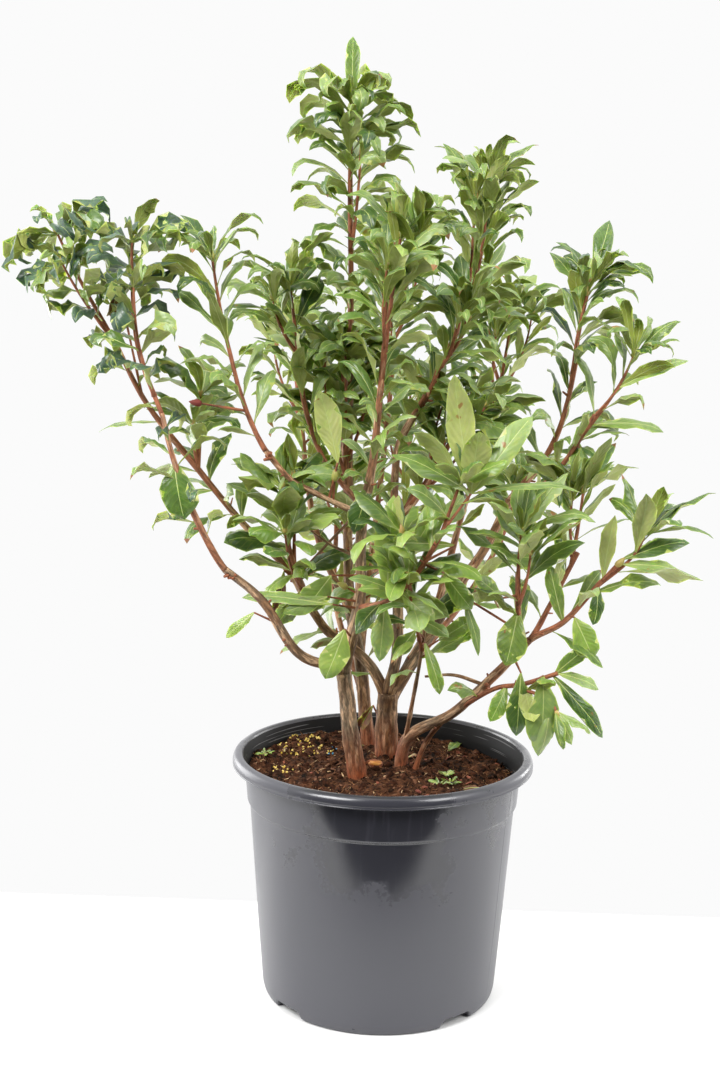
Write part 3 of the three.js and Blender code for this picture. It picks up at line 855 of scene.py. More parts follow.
# %% [markdown]
# Curves: a limb bends smoothly through its stops. A Catmull-Rom curve passes through each of them, and knots
# that follow the root of each distance keep it from looping where two stops stand close. The curve is then
# cut into even steps, so that the bark keeps one scale along it.

# %% Curves through the stops
PATH_STEP = 3.5  # mm between the rings of a limb
CURVE_STEPS = 40  # between two stops
LEAD_IN = 0.8  # a limb that grows on from another's end starts in line with this place on it
paths = {}


def unit(vectors):
    vectors = np.asarray(vectors, float)
    return vectors / np.linalg.norm(vectors, axis=-1, keepdims=True)


def length_along(path):
    """How far along a path each of its points lies."""
    return np.concatenate([[0], np.cumsum(np.linalg.norm(np.diff(path, axis=0), axis=1))])


def spot_on(path, share):
    run = length_along(path)
    return np.array([np.interp(share * run[-1], run, path[:, i]) for i in range(3)])


def smooth_path(stops, step=PATH_STEP):
    """An evenly stepped Catmull-Rom curve through the stops, with knots set by the root of each distance."""
    parent = paths[stops[0][0]] if stops[0] == (stops[0][0], 1) else None
    places = [spot_on(paths[stop[0]], stop[1]) if stop[0] in paths else stop for stop in stops]
    stops = np.array(places, float)
    first, last = 2 * stops[0] - stops[1], 2 * stops[-1] - stops[-2]
    if parent is not None:
        first = spot_on(parent, LEAD_IN)
    stops = np.vstack([first, stops, last])
    knots = np.concatenate([[0], np.cumsum(np.linalg.norm(np.diff(stops, axis=0), axis=1) ** 0.5)])
    dense = []
    for i in range(1, len(stops) - 2):
        t = np.linspace(knots[i], knots[i + 1], CURVE_STEPS)[:, None]

        def mix(a, b, start, end):
            return a + (b - a) * (t - knots[start]) / (knots[end] - knots[start])

        near = [mix(stops[j], stops[j + 1], j, j + 1) for j in (i - 1, i, i + 1)]
        wide = [mix(near[0], near[1], i - 1, i + 1), mix(near[1], near[2], i, i + 2)]
        dense.append(mix(wide[0], wide[1], i, i + 1))
    dense = np.vstack(dense)
    run = length_along(dense)
    even = np.linspace(0, run[-1], max(4, round(run[-1] / step) + 1))
    return np.stack([np.interp(even, run, dense[:, i]) for i in range(3)], -1)


def frames_along(path):
    """The direction of a path at each point, and two square-on directions that don't spin round it."""
    ahead = unit(np.gradient(path, axis=0))
    start = np.cross(ahead[0], (0, 1, 0.2))  # any direction that no path starts in
    across = [unit(start)]
    for direction in ahead[1:]:
        across.append(unit(across[-1] - direction * (across[-1] @ direction)))
    across = np.array(across)
    return ahead, across, np.cross(ahead, across)


for name, limb in LIMBS.items():
    paths[name] = smooth_path(limb["stops"])
print("the longest limb is", round(max(length_along(path)[-1] for path in paths.values())), "mm")

# %% [markdown]
# Azalea bark: the oldest wood at the foot is grey-brown, with long shallow fissures and thin flakes. Boughs
# a few years old are warm brown and finely furrowed, and last year's wood is smooth and red-brown. All three
# are one rule: ridges run along the limb, deep where the wood is thick and fading as it thins. A value for
# the wood's age is stored at each point, and the bark's colours follow it.

# %% Tubes with bark relief
OLD_WOOD, YOUNG_WOOD = 11.0, 2.6  # half-widths in mm
COLLAR_SWELL, COLLAR_LENGTH = 0.45, 9  # where a bough leaves its parent
STEM_FOOT = 242  # no wood reaches below this height, which is inside the compost
FLARE_FALL = 8  # how fast the flare at a stem's foot fades along it
SIDES_PER_MM, FEWEST_SIDES, MOST_SIDES = 2.6, 12, 30  # of half-width, and of a limb
GRAIN_STRETCH = 5  # fibres are this many times longer than they are wide
GRAIN_SHIFT = 50  # from one limb to the next, so that no two have the same grain


def ridges(angle, run, seed, fine):
    """Relief from 0 to 1 that runs along a limb, with ridges that wander and fork every few centimetres."""
    phases = np.random.default_rng(seed).uniform(0, 2 * math.pi, 8)
    wander = 0.8 * np.sin(run / 37 + phases[0]) + 0.5 * np.sin(run / 14 + 2 * angle + phases[1])
    broad = np.sin(fine * angle + 2.2 * wander + phases[2])
    narrow = np.sin((2 * fine + 1) * angle - 1.6 * wander + run / 23 + phases[3])
    breaks = np.sin(run / 6.5 + 3 * np.sin(2 * angle + phases[4]) + phases[5])
    return 0.5 * (1 - np.abs(broad)) + 0.35 * (1 - np.abs(narrow)) + 0.15 * (breaks > 0.2)


def bark_tube(batch, path, half_widths, sides, seed, collar=True, old=0.0):
    """Adds one limb. Its relief and its age follow from its half-width, unless it's old for its width."""
    ahead, across, over = frames_along(path)
    run = length_along(path)[:, None]
    angle = np.linspace(0, 2 * math.pi, sides, endpoint=False)
    age = np.clip((half_widths - YOUNG_WOOD) / (OLD_WOOD - YOUNG_WOOD), old, 1)
    radius = half_widths[:, None] * (1 + collar * COLLAR_SWELL * np.exp(-run / COLLAR_LENGTH))
    wobble = 0.05 * np.sin(2 * angle + run / 31 + seed) + 0.04 * np.sin(3 * angle - run / 17)
    depth = 0.3 + 1.7 * np.minimum(age, half_widths / OLD_WOOD)[:, None] ** 1.2
    fine = 3 + int(half_widths[0] / 3)
    furrow = ridges(angle, run, seed, fine)
    radius = radius * (1 + wobble) + depth * (furrow - 0.5)
    points = path[:, None] + radius[..., None] * (
        np.cos(angle)[:, None] * across[:, None] + np.sin(angle)[:, None] * over[:, None]
    )
    points[..., 2] = np.maximum(points[..., 2], STEM_FOOT)
    grain_run = run / GRAIN_STRETCH + GRAIN_SHIFT * seed + 0 * angle
    unrolled = [radius * np.cos(angle), radius * np.sin(angle), grain_run]
    batch.add(
        points.reshape(-1, 3) * MM,
        tube_faces(len(path), sides),
        age=np.repeat(age, sides),
        furrow=furrow.ravel(),
        grain=np.stack(unrolled, -1).reshape(-1, 3) * MM,
    )


wood = Batch()
for number, (name, limb) in enumerate(LIMBS.items()):
    path = paths[name]
    run = length_along(path)
    along = run / run[-1]
    thick, thin = limb["girth"]
    half_widths = thick + (thin - thick) * along + limb.get("flare", 0) * np.exp(-FLARE_FALL * along)
    sides = int(np.clip(thick * SIDES_PER_MM, FEWEST_SIDES, MOST_SIDES))
    leaves_side = limb["stops"][0][0] in paths and limb["stops"][0][1] < 1
    bark_tube(wood, path, half_widths, sides, number, collar=leaves_side, old=limb.get("old", 0))
print("wood:", wood.count, "points")

# %% [markdown]
# The bark's finish is dry and dull. Young wood is red-brown and old wood brown, by the stored age, with grey
# patches, paler flakes where the skin peels, painted shade in the hollows of its furrows, and a rust-red foot
# that damp compost stains. The brown of old wood and its grey are also a little darker than the bark's own,
# as painted shade from the crown. Fine fibres run along it. They follow the stored grain, because a pattern
# on plain coordinates would run straight through a limb that leans, instead of along it.

# %% Azalea bark
FIBRE_WIDTH = 2.381  # real fibres are some 0.3 mm wide, which is too fine to show
PEEL_WIDTH, PATCH_SIZE = 6.667, 33.33

bark_material, tree = new_material("azalea_bark")
place_on = add(tree, "ShaderNodeTexCoord").outputs["Object"]
age = add(tree, "ShaderNodeAttribute", attribute_name="age").outputs["Fac"]
furrow = add(tree, "ShaderNodeAttribute", attribute_name="furrow").outputs["Fac"]
grain = add(tree, "ShaderNodeAttribute", attribute_name="grain").outputs["Vector"]
fibres = add(tree, "ShaderNodeTexNoise", {
    "Vector": grain,
    "Scale": per_metre(FIBRE_WIDTH),
    "Detail": 5,
    "Roughness": 0.7,
})
patches = add(tree, "ShaderNodeTexNoise", {
    "Vector": place_on,
    "Scale": per_metre(PATCH_SIZE),
    "Detail": 3,
})
old = add(tree, "ShaderNodeMapRange", {0: age, 1: 0.08, 2: 0.5})
# Partly painted shade: the old wood's brown and the grey of its patches are a little darker than the bark's
# own, for shade inside the crown.
warm = add(tree, "ShaderNodeMix", {
    0: old.outputs[0],
    6: linear("#8c5438"),
    7: linear("#8c6c4a"),
}, data_type="RGBA")
greyed = add(tree, "ShaderNodeMapRange", {0: patches.outputs["Fac"], 1: 0.42, 2: 0.6, 4: 0.8})
grey_share = add(tree, "ShaderNodeMath", {0: greyed.outputs[0], 1: old.outputs[0]}, operation="MULTIPLY")
grey = add(tree, "ShaderNodeMix", {
    0: grey_share.outputs[0],
    6: warm.outputs[2],
    7: linear("#7c6e59"),
}, data_type="RGBA")
# Painted shade: the hollows of the furrows are darkened, more so on old wood.
painted_furrow_shade = add(tree, "ShaderNodeMapRange", {0: furrow, 1: 0.15, 2: 0.55, 3: 0.8, 4: 0.0})
painted_old_furrow_shade = add(tree, "ShaderNodeMath", {0: painted_furrow_shade.outputs[0], 1: old.outputs[0]}, operation="MULTIPLY")
shaded = add(tree, "ShaderNodeMix", {
    0: painted_old_furrow_shade.outputs[0],
    6: grey.outputs[2],
    7: linear("#4f3626"),
}, data_type="RGBA")
peeling = add(tree, "ShaderNodeTexNoise", {
    "Vector": grain,
    "Scale": per_metre(PEEL_WIDTH),
    "Detail": 3,
    "Roughness": 0.6,
})
flakes = add(tree, "ShaderNodeMapRange", {0: peeling.outputs["Fac"], 1: 0.53, 2: 0.6, 3: 0.0, 4: 0.75})
thick_enough = add(tree, "ShaderNodeMapRange", {0: age, 1: 0.02, 2: 0.2})
flaked = add(tree, "ShaderNodeMath", {0: flakes.outputs[0], 1: thick_enough.outputs[0]}, operation="MULTIPLY")
peeled = add(tree, "ShaderNodeMix", {
    0: flaked.outputs[0],
    6: shaded.outputs[2],
    7: linear("#c9a582"),
}, data_type="RGBA")
height = add(tree, "ShaderNodeSeparateXYZ", {0: place_on}).outputs["Z"]
foot = add(tree, "ShaderNodeMapRange", {0: height, 1: 0.262, 2: 0.325, 3: 1.6, 4: 0.0})
stained = add(tree, "ShaderNodeMath", {0: foot.outputs[0], 1: patches.outputs["Fac"]}, operation="MULTIPLY")
damp = add(tree, "ShaderNodeMix", {
    0: stained.outputs[0],
    6: peeled.outputs[2],
    7: linear("#8a4420"),
}, data_type="RGBA")
streaks = add(tree, "ShaderNodeMapRange", {0: fibres.outputs["Fac"], 1: 0.34, 2: 0.66, 3: 0.4, 4: 1.75})
colour = add(tree, "ShaderNodeVectorMath", {
    0: damp.outputs[2],
    "Scale": streaks.outputs[0],
}, operation="SCALE")
relief = add(tree, "ShaderNodeBump", {"Height": fibres.outputs["Fac"], "Strength": 0.8, "Distance": 0.0015})
shader = add(tree, "ShaderNodeBsdfPrincipled", {
    "Base Color": colour.outputs[0],
    "Roughness": 0.75,
    "Normal": relief.outputs[0],
})
add(tree, "ShaderNodeOutputMaterial", {"Surface": shader.outputs[0]})
limbs_piece = wood.piece("stems_and_boughs", [bark_material])
settle(limbs_piece, "bark", *LIMBS)

# %% [markdown]
# Small wood: an old shrub is full of short dead spurs where twigs broke off, with a few knots where several
# left at once. Some thin stems and dead twigs run between the limbs. They are tubes of the same bark, set at
# seeded places along the limbs, and gathered with the young shoots that come later.

# %% Spurs, knots and dead twigs
SPUR_SPACING = 62  # mm of a limb for each broken spur
SPUR_RINGS, SPUR_SIDES, TWIG_SIDES = 5, 7, 8
KNOTS = [  # limb and share of its length
    ("bough_left_low", 0.97),
    ("bough_left_long", 0.98),
    ("stem_right", 0.73),
    ("bough_left_third", 0.97),
]
KNOT_SPURS = 5
DEAD_TWIGS = [  # stops and half-widths
    ([("bough_front", 0.35), (-68, 8, 528), (-110, 30, 556)], (1.9, 1.2)),
    ([("bough_left_long", 0.97), (-78, 34, 512), (-42, 40, 551)], (2, 1.5)),
    ([("stem_right", 0.72), (78, -44, 388), (46, -24, 381)], (2.4, 1.5)),
    ([(36, 8, 255), (50, 2, 296), (76, -18, 336), ("stem_right", 0.62)], (3.4, 2.8)),
    ([("bough_right", 0.5), (118, 40, 470), (132, 28, 452)], (2, 1.2)),
    ([("bough_centre", 0.3), (40, 22, 500), (66, 14, 508)], (1.8, 1.1)),
]
twigs = Batch()


def limb_spot(limb, share):
    """A place on a limb, the limb's direction there and its half-width."""
    path = paths[limb]
    at = int(share * (len(path) - 2))
    thick, thin = LIMBS[limb]["girth"]
    return path[at], unit(path[at + 1] - path[at]), thick + (thin - thick) * share


def spur(limb, share, length, half_width):
    """A short broken stub that stands off a limb."""
    spot, ahead, thickness = limb_spot(limb, share)
    loose = rng.normal(size=3)
    outward = unit(loose - ahead * (loose @ ahead))
    heading = unit(outward + 0.5 * ahead)
    path = spot + heading * np.linspace(0.4 * thickness, thickness + length, SPUR_RINGS)[:, None]
    half_widths = np.linspace(half_width, 0.6 * half_width, SPUR_RINGS)
    bark_tube(twigs, path, half_widths, SPUR_SIDES, len(twigs.points), collar=False)


for limb in LIMBS:
    length = length_along(paths[limb])[-1]
    for _ in range(int(length / SPUR_SPACING)):
        spur(limb, rng.uniform(0.15, 0.95), rng.uniform(2, 9), rng.uniform(1.1, 2.0))
for limb, share in KNOTS:
    for _ in range(KNOT_SPURS):
        spur(limb, share + rng.uniform(-0.02, 0.02), rng.uniform(1, 8), rng.uniform(1.8, 3.2))
for stops, (thick, thin) in DEAD_TWIGS:
    path = smooth_path(stops)
    half_widths = np.linspace(thick, thin, len(path))
    bark_tube(twigs, path, half_widths, TWIG_SIDES, len(twigs.points), collar=False, old=0.3)
print("spurs and dead twigs:", len(twigs.points))

# %% [markdown]
# A pruned stub: one stem was sawn off just above the compost. It is a short tube of the same bark, which
# leans forward a little, with a thin disc of bare wood set into its top for the cut.

# %% A pruned stub at the foot
STUB_PLACE, STUB_TOP, STUB_RADIUS = (-9, 14), 268, 9
STUB_LEAN = 4  # mm towards the front
STUB_RINGS, STUB_SIDES, STUB_SEED = 8, 18, 3
BARK_EDGE = 0.6  # bark that shows round the cut
CUT_SUNK, CUT_PROUD = 1.5, 0.7  # how far the disc reaches below and above the stub's end

stub = np.array([[*STUB_PLACE, z] for z in np.linspace(STEM_FOOT, STUB_TOP, STUB_RINGS)], float)
stub[:, 1] -= np.linspace(0, STUB_LEAN, STUB_RINGS)
bark_tube(twigs, stub, np.full(STUB_RINGS, STUB_RADIUS), STUB_SIDES, STUB_SEED, collar=False)
turn = np.linspace(0, 2 * math.pi, STUB_SIDES, endpoint=False)[:, None]
cut_face = stub[-1] + (STUB_RADIUS - BARK_EDGE) * (np.cos(turn) * [1, 0, 0] + np.sin(turn) * [0, 1, 0])
cut_rings = np.concatenate([cut_face - [0, 0, CUT_SUNK], cut_face + [0, 0, CUT_PROUD]])
even = {"age": np.zeros(len(cut_rings)), "furrow": np.zeros(len(cut_rings)), "grain": cut_rings * MM}
twigs.add(cut_rings * MM, tube_faces(2, STUB_SIDES), 1, **even)
print("small wood:", twigs.count, "points")

# %% [markdown]
# ## The leaves
# An azalea leaf is narrow and widest past its middle, drawn out to a stalk at its base, with a pale midrib,
# a folded blade, wavy edges that roll under, and a tip that curls. Its upper side is satin green and its
# underside is paler. One leaf is a strip of nine rows. Each row is laid out from the leaf's own numbers, such
# as how far it arches and folds, so every leaf can differ while all of them are drawn in one go with arrays.
# The midrib, the underside and a dry tip are faces with their own plain colour.

# %% The shape of a leaf
LEAF_ROWS = np.array([0, 0.12, 0.28, 0.44, 0.58, 0.71, 0.82, 0.92, 1.0])
ROW_POINTS = 8  # 0 to 5 cross the top, 6 and 7 edge the midrib below
LEAF_STALK = 0.95  # half-width in mm
LEAF_THICKNESS = 0.35
LEAF_WAVES = 2.3  # along its edge
LEAF_RAGGED = 0.1  # how uneven its width is
MIDRIB = 0.6  # half-width at its foot
MIDRIB_PROUD = 0.5  # how far it stands out below
CURL_START = 0.55  # the tip curls past this share of its length
LEAF_TRAITS = (
    "length", "width", "belly", "blunt", "arch", "curl", "sway", "twist", "fold", "roll", "wave", "phase",
)


def turned_about(a, b, angle):
    """Two square-on directions, turned by an angle in their own plane."""
    c, s = np.cos(angle)[..., None], np.sin(angle)[..., None]
    return c * a + s * b, c * b - s * a


def leaf_points(leaves):
    """Every leaf's points in millimetres, as an array of leaves by rows by points of a row."""
    base, axis, up = (np.array([leaf[key] for leaf in leaves]) for key in ("base", "axis", "up"))
    trait = {key: np.array([leaf[key] for leaf in leaves])[:, None] for key in LEAF_TRAITS}
    t = LEAF_ROWS
    up = unit(up - axis * np.sum(up * axis, -1, keepdims=True))
    side = np.cross(axis, up)[:, None]
    tip_turn = np.clip((t - CURL_START) / (1 - CURL_START), 0, 1) ** 1.5
    drop = trait["arch"] * t**1.15 + trait["curl"] * tip_turn
    ahead, above = turned_about(axis[:, None], -up[:, None], drop)
    above = -above
    steps = 0.5 * (ahead[:, 1:] + ahead[:, :-1]) * (np.diff(t) * trait["length"])[..., None]
    centre = base[:, None] + np.concatenate([np.zeros_like(steps[:, :1]), np.cumsum(steps, 1)], 1)
    centre = centre + side * (trait["sway"] * trait["length"] * t**2)[..., None]
    across, above = turned_about(side + 0 * above, above, trait["twist"] * t)
    half = trait["width"] / 2 * np.sin(math.pi * np.clip(t, 0, 0.999) ** trait["belly"]) ** trait["blunt"]
    half = np.maximum(half, LEAF_STALK * (1 - 0.8 * t))
    rib = np.minimum(MIDRIB * (1 - 0.6 * t), 0.4 * half)
    rows = []
    for share, edge in ((1, -1), (0.5, -1), (0, -1), (0, 1), (0.5, 1), (1, 1)):
        ragged = 1 + LEAF_RAGGED * np.sin(9 * t + 3 * trait["phase"] * edge) * (t < 0.99)
        reach = np.maximum(half * share * ragged, rib)
        waves = trait["wave"] * np.sin(2 * math.pi * LEAF_WAVES * t + trait["phase"] * edge + edge)
        rolled = trait["roll"] * np.clip(reach - half / 2, 0, None) * 2
        lift = reach * (np.sin(trait["fold"]) + waves) - rolled
        level = np.sqrt(np.clip(1 - np.sin(trait["fold"]) ** 2, 0.1, 1)) * reach
        rows.append(centre + across * (edge * level)[..., None] + above * lift[..., None])
    below = LEAF_THICKNESS + MIDRIB_PROUD * (1 - t)
    rows += [rows[i] - above * below[:, None] for i in (2, 3)]
    return np.stack(rows, 2)


print("a leaf has", len(LEAF_ROWS), "rows of", ROW_POINTS, "points and", len(LEAF_TRAITS), "traits")

# %% [markdown]
# The faces of one leaf are listed once, each with the part of the leaf that it belongs to: above, four strips
# of blade with the midrib's pale line between them, and below, two wide strips and the midrib's ridge. Both
# ends are closed, so a leaf is a thin solid body. A single sheet would be lighter, but it has only one
# finish, and both sides of a leaf show.


# %% The faces of a leaf
def leaf_faces():
    """The faces of one leaf, and for each the part it belongs to: blade, underside, midrib or tip."""
    faces, parts = [], []
    strips = [(0, 1), (1, 2), (2, 3), (3, 4), (4, 5), (5, 7), (7, 6), (6, 0)]
    kinds = ["blade", "blade", "midrib", "blade", "blade", "underside", "midrib", "underside"]
    for row in range(len(LEAF_ROWS) - 1):
        for (a, b), kind in zip(strips, kinds):
            low, high = ROW_POINTS * row, ROW_POINTS * (row + 1)
            faces.append([low + a, low + b, high + b, high + a])
            tip = row == len(LEAF_ROWS) - 2 and kind != "underside"
            parts.append("tip" if tip else kind)
    for end, order in ((0, 1), (ROW_POINTS * (len(LEAF_ROWS) - 1), -1)):
        for face in ((0, 1, 2, 6), (2, 3, 7, 6), (3, 4, 5, 7)):
            faces.append([end + corner for corner in face][::-order])
            parts.append("underside")
    return np.array(faces), parts


LEAF_FACES, LEAF_PARTS = leaf_faces()
print("one leaf has", len(LEAF_FACES), "faces")

# %% [markdown]
# Leaf finishes: the wax on a leaf gives a soft satin sheen over green, and a little light scatters inside the
# thin blade, which softens its shading. Young leaves are yellow-green, shaded ones are deep, and those at the
# top left are dusky and weathered. Each of these greens is a material of its own, and each spray draws its
# leaves from its own mix of them. Inside each, the colour drifts a little from leaf to leaf and the side
# veins show as faint relief. The veins' run is stored with each leaf, so that they branch from its midrib.

# %% Leaf materials
BLADES = {  # shaded and sunlit green of the upper side, its roughness, and how yellow its edge is
    "dusky": ("#2f4736", "#5a7359", 0.3, 0.18),
    "deep": ("#3b5728", "#607d3a", 0.3, 0.4),
    "mid": ("#546f2f", "#7d954b", 0.33, 0.55),
    "soft": ("#69833f", "#91a665", 0.36, 0.55),
    "fresh": ("#688834", "#94ab56", 0.32, 0.5),
    "withered": ("#5c3622", "#9a6440", 0.6, 0.3),
}
UNDERSIDES = {"pale": ("#949e54", "#bac07a", 0.5), "olive": ("#7c8938", "#a4aa54", 0.52)}
VEIN_PAIRS = 9
BLOTCH_SIZE, RUST_SPOT = 13.33, 20.83
QUILT_SIZE = 2.381  # between the finest veins; the real net is about 1 mm, which is too fine to show


def leaf_material(name, shaded, sunlit, roughness, vein_depth, margin=0.0):
    """A satin leaf surface. margin is how strongly its edge, base, veins and blotches turn yellow-green."""
    material, tree = new_material(name)
    place_on = add(tree, "ShaderNodeTexCoord").outputs["Object"]
    tint = add(tree, "ShaderNodeAttribute", attribute_name="tint").outputs["Fac"]
    along = add(tree, "ShaderNodeAttribute", attribute_name="along").outputs["Fac"]
    mottle = add(tree, "ShaderNodeTexNoise", {
        "Vector": place_on,
        "Scale": per_metre(BLOTCH_SIZE),
        "Detail": 4,
    })
    drift = add(tree, "ShaderNodeMapRange", {0: mottle.outputs["Fac"], 1: 0.3, 2: 0.7, 3: -0.3, 4: 0.3})
    shade = add(tree, "ShaderNodeMath", {0: tint, 1: drift.outputs[0]}, operation="ADD")
    green = add(tree, "ShaderNodeMix", {
        0: shade.outputs[0],
        6: linear(shaded),
        7: linear(sunlit),
    }, data_type="RGBA")
    veins = add(tree, "ShaderNodeUVMap", uv_map="veins")
    branch = add(tree, "ShaderNodeSeparateXYZ", {0: veins.outputs[0]})
    edge = add(tree, "ShaderNodeMapRange", {0: branch.outputs[1], 1: 0.88, 2: 1.0, 3: 0.0, 4: margin})
    base = add(tree, "ShaderNodeMapRange", {0: along, 1: 0.04, 2: 0.3, 3: margin, 4: 0.0})
    blotch = add(tree, "ShaderNodeMapRange", {
        0: mottle.outputs["Fac"],
        1: 0.6,
        2: 0.68,
        3: 0.0,
        4: 0.6 * margin,
    })
    faded = add(tree, "ShaderNodeMath", {0: edge.outputs[0], 1: base.outputs[0]}, operation="MAXIMUM")
    faded = add(tree, "ShaderNodeMath", {0: faded.outputs[0], 1: blotch.outputs[0]}, operation="MAXIMUM")
    ripple = add(tree, "ShaderNodeMath", {0: branch.outputs[0], 1: 2 * math.pi}, operation="MULTIPLY")
    swell = add(tree, "ShaderNodeMath", {0: ripple.outputs[0]}, operation="SINE")
    side_vein = add(tree, "ShaderNodeMapRange", {
        0: swell.outputs[0],
        1: 0.72,
        2: 1.0,
        3: 0.0,
        4: 0.3 * margin,
    })
    faded = add(tree, "ShaderNodeMath", {0: faded.outputs[0], 1: side_vein.outputs[0]}, operation="MAXIMUM")
    colour = add(tree, "ShaderNodeMix", {
        0: faded.outputs[0],
        6: green.outputs[2],
        7: linear("#a9b350"),
    }, data_type="RGBA")
    spots = add(tree, "ShaderNodeTexNoise", {
        "Vector": place_on,
        "Scale": per_metre(RUST_SPOT),
        "Detail": 2,
    })
    rusty = add(tree, "ShaderNodeMapRange", {
        0: spots.outputs["Fac"],
        1: 0.71,
        2: 0.74,
        3: 0.0,
        4: 1.4 * margin,
    })
    colour = add(tree, "ShaderNodeMix", {
        0: rusty.outputs[0],
        6: colour.outputs[2],
        7: linear("#96592f"),
    }, data_type="RGBA")
    quilt = add(tree, "ShaderNodeTexVoronoi", {"Vector": place_on, "Scale": per_metre(QUILT_SIZE)})
    height = add(tree, "ShaderNodeMath", {0: quilt.outputs["Distance"], 1: swell.outputs[0]}, operation="ADD")
    relief = add(tree, "ShaderNodeBump", {
        "Height": height.outputs[0],
        "Strength": vein_depth,
        "Distance": 0.0003,
    })
    shader = add(tree, "ShaderNodeBsdfPrincipled", {
        "Base Color": colour.outputs[2],
        "Roughness": roughness,
        "Normal": relief.outputs[0],
        "Subsurface Weight": 0.5,
        "Subsurface Radius": (0.7, 1.0, 0.2),
        "Subsurface Scale": 0.0015,
    })
    add(tree, "ShaderNodeOutputMaterial", {"Surface": shader.outputs[0]})
    return material


leaf_materials = {}
for name, (shaded, sunlit, roughness, margin) in BLADES.items():
    leaf_materials[name] = leaf_material(f"{name}_azalea_leaf", shaded, sunlit, roughness, 0.22, margin)
for name, (shaded, sunlit, roughness) in UNDERSIDES.items():
    leaf_materials[name] = leaf_material(f"{name}_leaf_underside", shaded, sunlit, roughness, 0.35, 0.5)
leaf_materials["midrib"] = leaf_material("pale_midrib", "#a5ae64", "#c0c88a", 0.45, 0.0)
leaf_materials["dry"] = leaf_material("dry_leaf_tip", "#7a4f34", "#a0724a", 0.7, 0.3)
LEAF_SLOTS = list(leaf_materials)
print("leaf finishes:", ", ".join(LEAF_SLOTS))

# %% [markdown]
# ## How a shoot grows
# Azalea leaves stand in a spiral, each a golden angle round from the last, wider apart low down and crowded
# into a whorl at the tip. A leaf starts out close to its shoot, then arches away under its weight. Every
# mass of the frame becomes one leading shoot along the mass's own line and a few side shoots that leave it
# and curve up beside it. A habit holds the numbers of one kind of growth. A pair is a range to draw from,
# except that launch is the angle to the shoot at its foot and at its tip. Lengths and spacings are in mm.

# %% Habits of growth
GOLDEN_ANGLE = math.radians(137.508)
HABITS = {
    "weathered": dict(
        tones=("dusky", "dusky", "deep", "dusky", "soft"), unders=("olive", "pale"),
        length=(56, 82), slender=(0.3, 0.42), blunt=(0.8, 1.0), launch=(0.85, 0.95),
        arch=(0.1, 1.4), curl=(0.8, 2.8), fold=(0.5, 1.2), wave=0.9, twist=1.4,
        dry=0.12, spacing=12, whorl=10,
    ),
    "crown": dict(
        tones=("mid", "mid", "soft", "deep", "soft"), unders=("olive", "pale"),
        length=(62, 97), slender=(0.19, 0.27), blunt=(0.85, 1.1), launch=(0.8, 0.42),
        arch=(0.0, 1.1), curl=(0.4, 2.4), fold=(0.1, 0.8), wave=0.5, twist=1.1,
        dry=0.1, spacing=9, whorl=7,
    ),
    "inner": dict(
        tones=("deep", "mid", "mid", "soft", "soft"), unders=("olive", "pale"),
        length=(60, 92), slender=(0.27, 0.37), blunt=(0.75, 1.0), launch=(1.0, 0.6),
        arch=(0.1, 1.2), curl=(0.0, 1.2), fold=(0.05, 0.5), wave=0.35, twist=1.0,
        dry=0.04, spacing=11, whorl=6,
    ),
    "low": dict(
        tones=("fresh", "mid", "soft", "fresh", "deep"), unders=("pale", "olive"),
        length=(60, 90), slender=(0.29, 0.4), blunt=(0.7, 0.95), launch=(1.05, 0.7),
        arch=(0.0, 1.1), curl=(0.0, 1.0), fold=(0.0, 0.4), wave=0.3, twist=0.9,
        dry=0.06, spacing=12, whorl=5,
    ),
}
leaves = {}


def set_leaf(region, base, ahead, outward, launch, habit, scale):
    """Adds one leaf to a region. launch is its angle to the shoot, in radians."""
    draw = rng.uniform
    length = draw(*habit["length"]) * scale
    leaves.setdefault(region, []).append(dict(
        base=base,
        axis=math.cos(launch) * ahead + math.sin(launch) * outward,
        up=unit(0.55 * np.array([0, 0, 1]) + 0.45 * ahead + draw(-0.4, 0.4, 3)),
        length=length,
        width=length * draw(*habit["slender"]),
        belly=draw(1.2, 1.7),
        blunt=draw(*habit["blunt"]),
        arch=draw(*habit["arch"]),
        curl=draw(*habit["curl"]),
        sway=draw(-0.16, 0.16),
        twist=draw(-1, 1) * habit["twist"],
        fold=draw(*habit["fold"]),
        roll=draw(0.2, 0.9),
        wave=draw(0.3, 1) * habit["wave"],
        phase=draw(0, 6.3),
        tint=draw(0, 1),
        tone=habit["tones"][rng.integers(len(habit["tones"]))],
        under=habit["unders"][rng.integers(len(habit["unders"]))],
        dry=draw() < habit["dry"],
    ))


print("habits:", ", ".join(HABITS))

# %% [markdown]
# Clothing a shoot: leaves are set from its bare foot to its tip, closer together as they near it. The whorl
# at the tip is as wide open as its habit says, and inside it two short leaves shield the bud. Hair or an
# instance on each point would be quicker, but each leaf here has a bend and a fold of its own.

# %% Leaves on a shoot
BUD_LEAVES = 2  # short upright ones inside the whorl


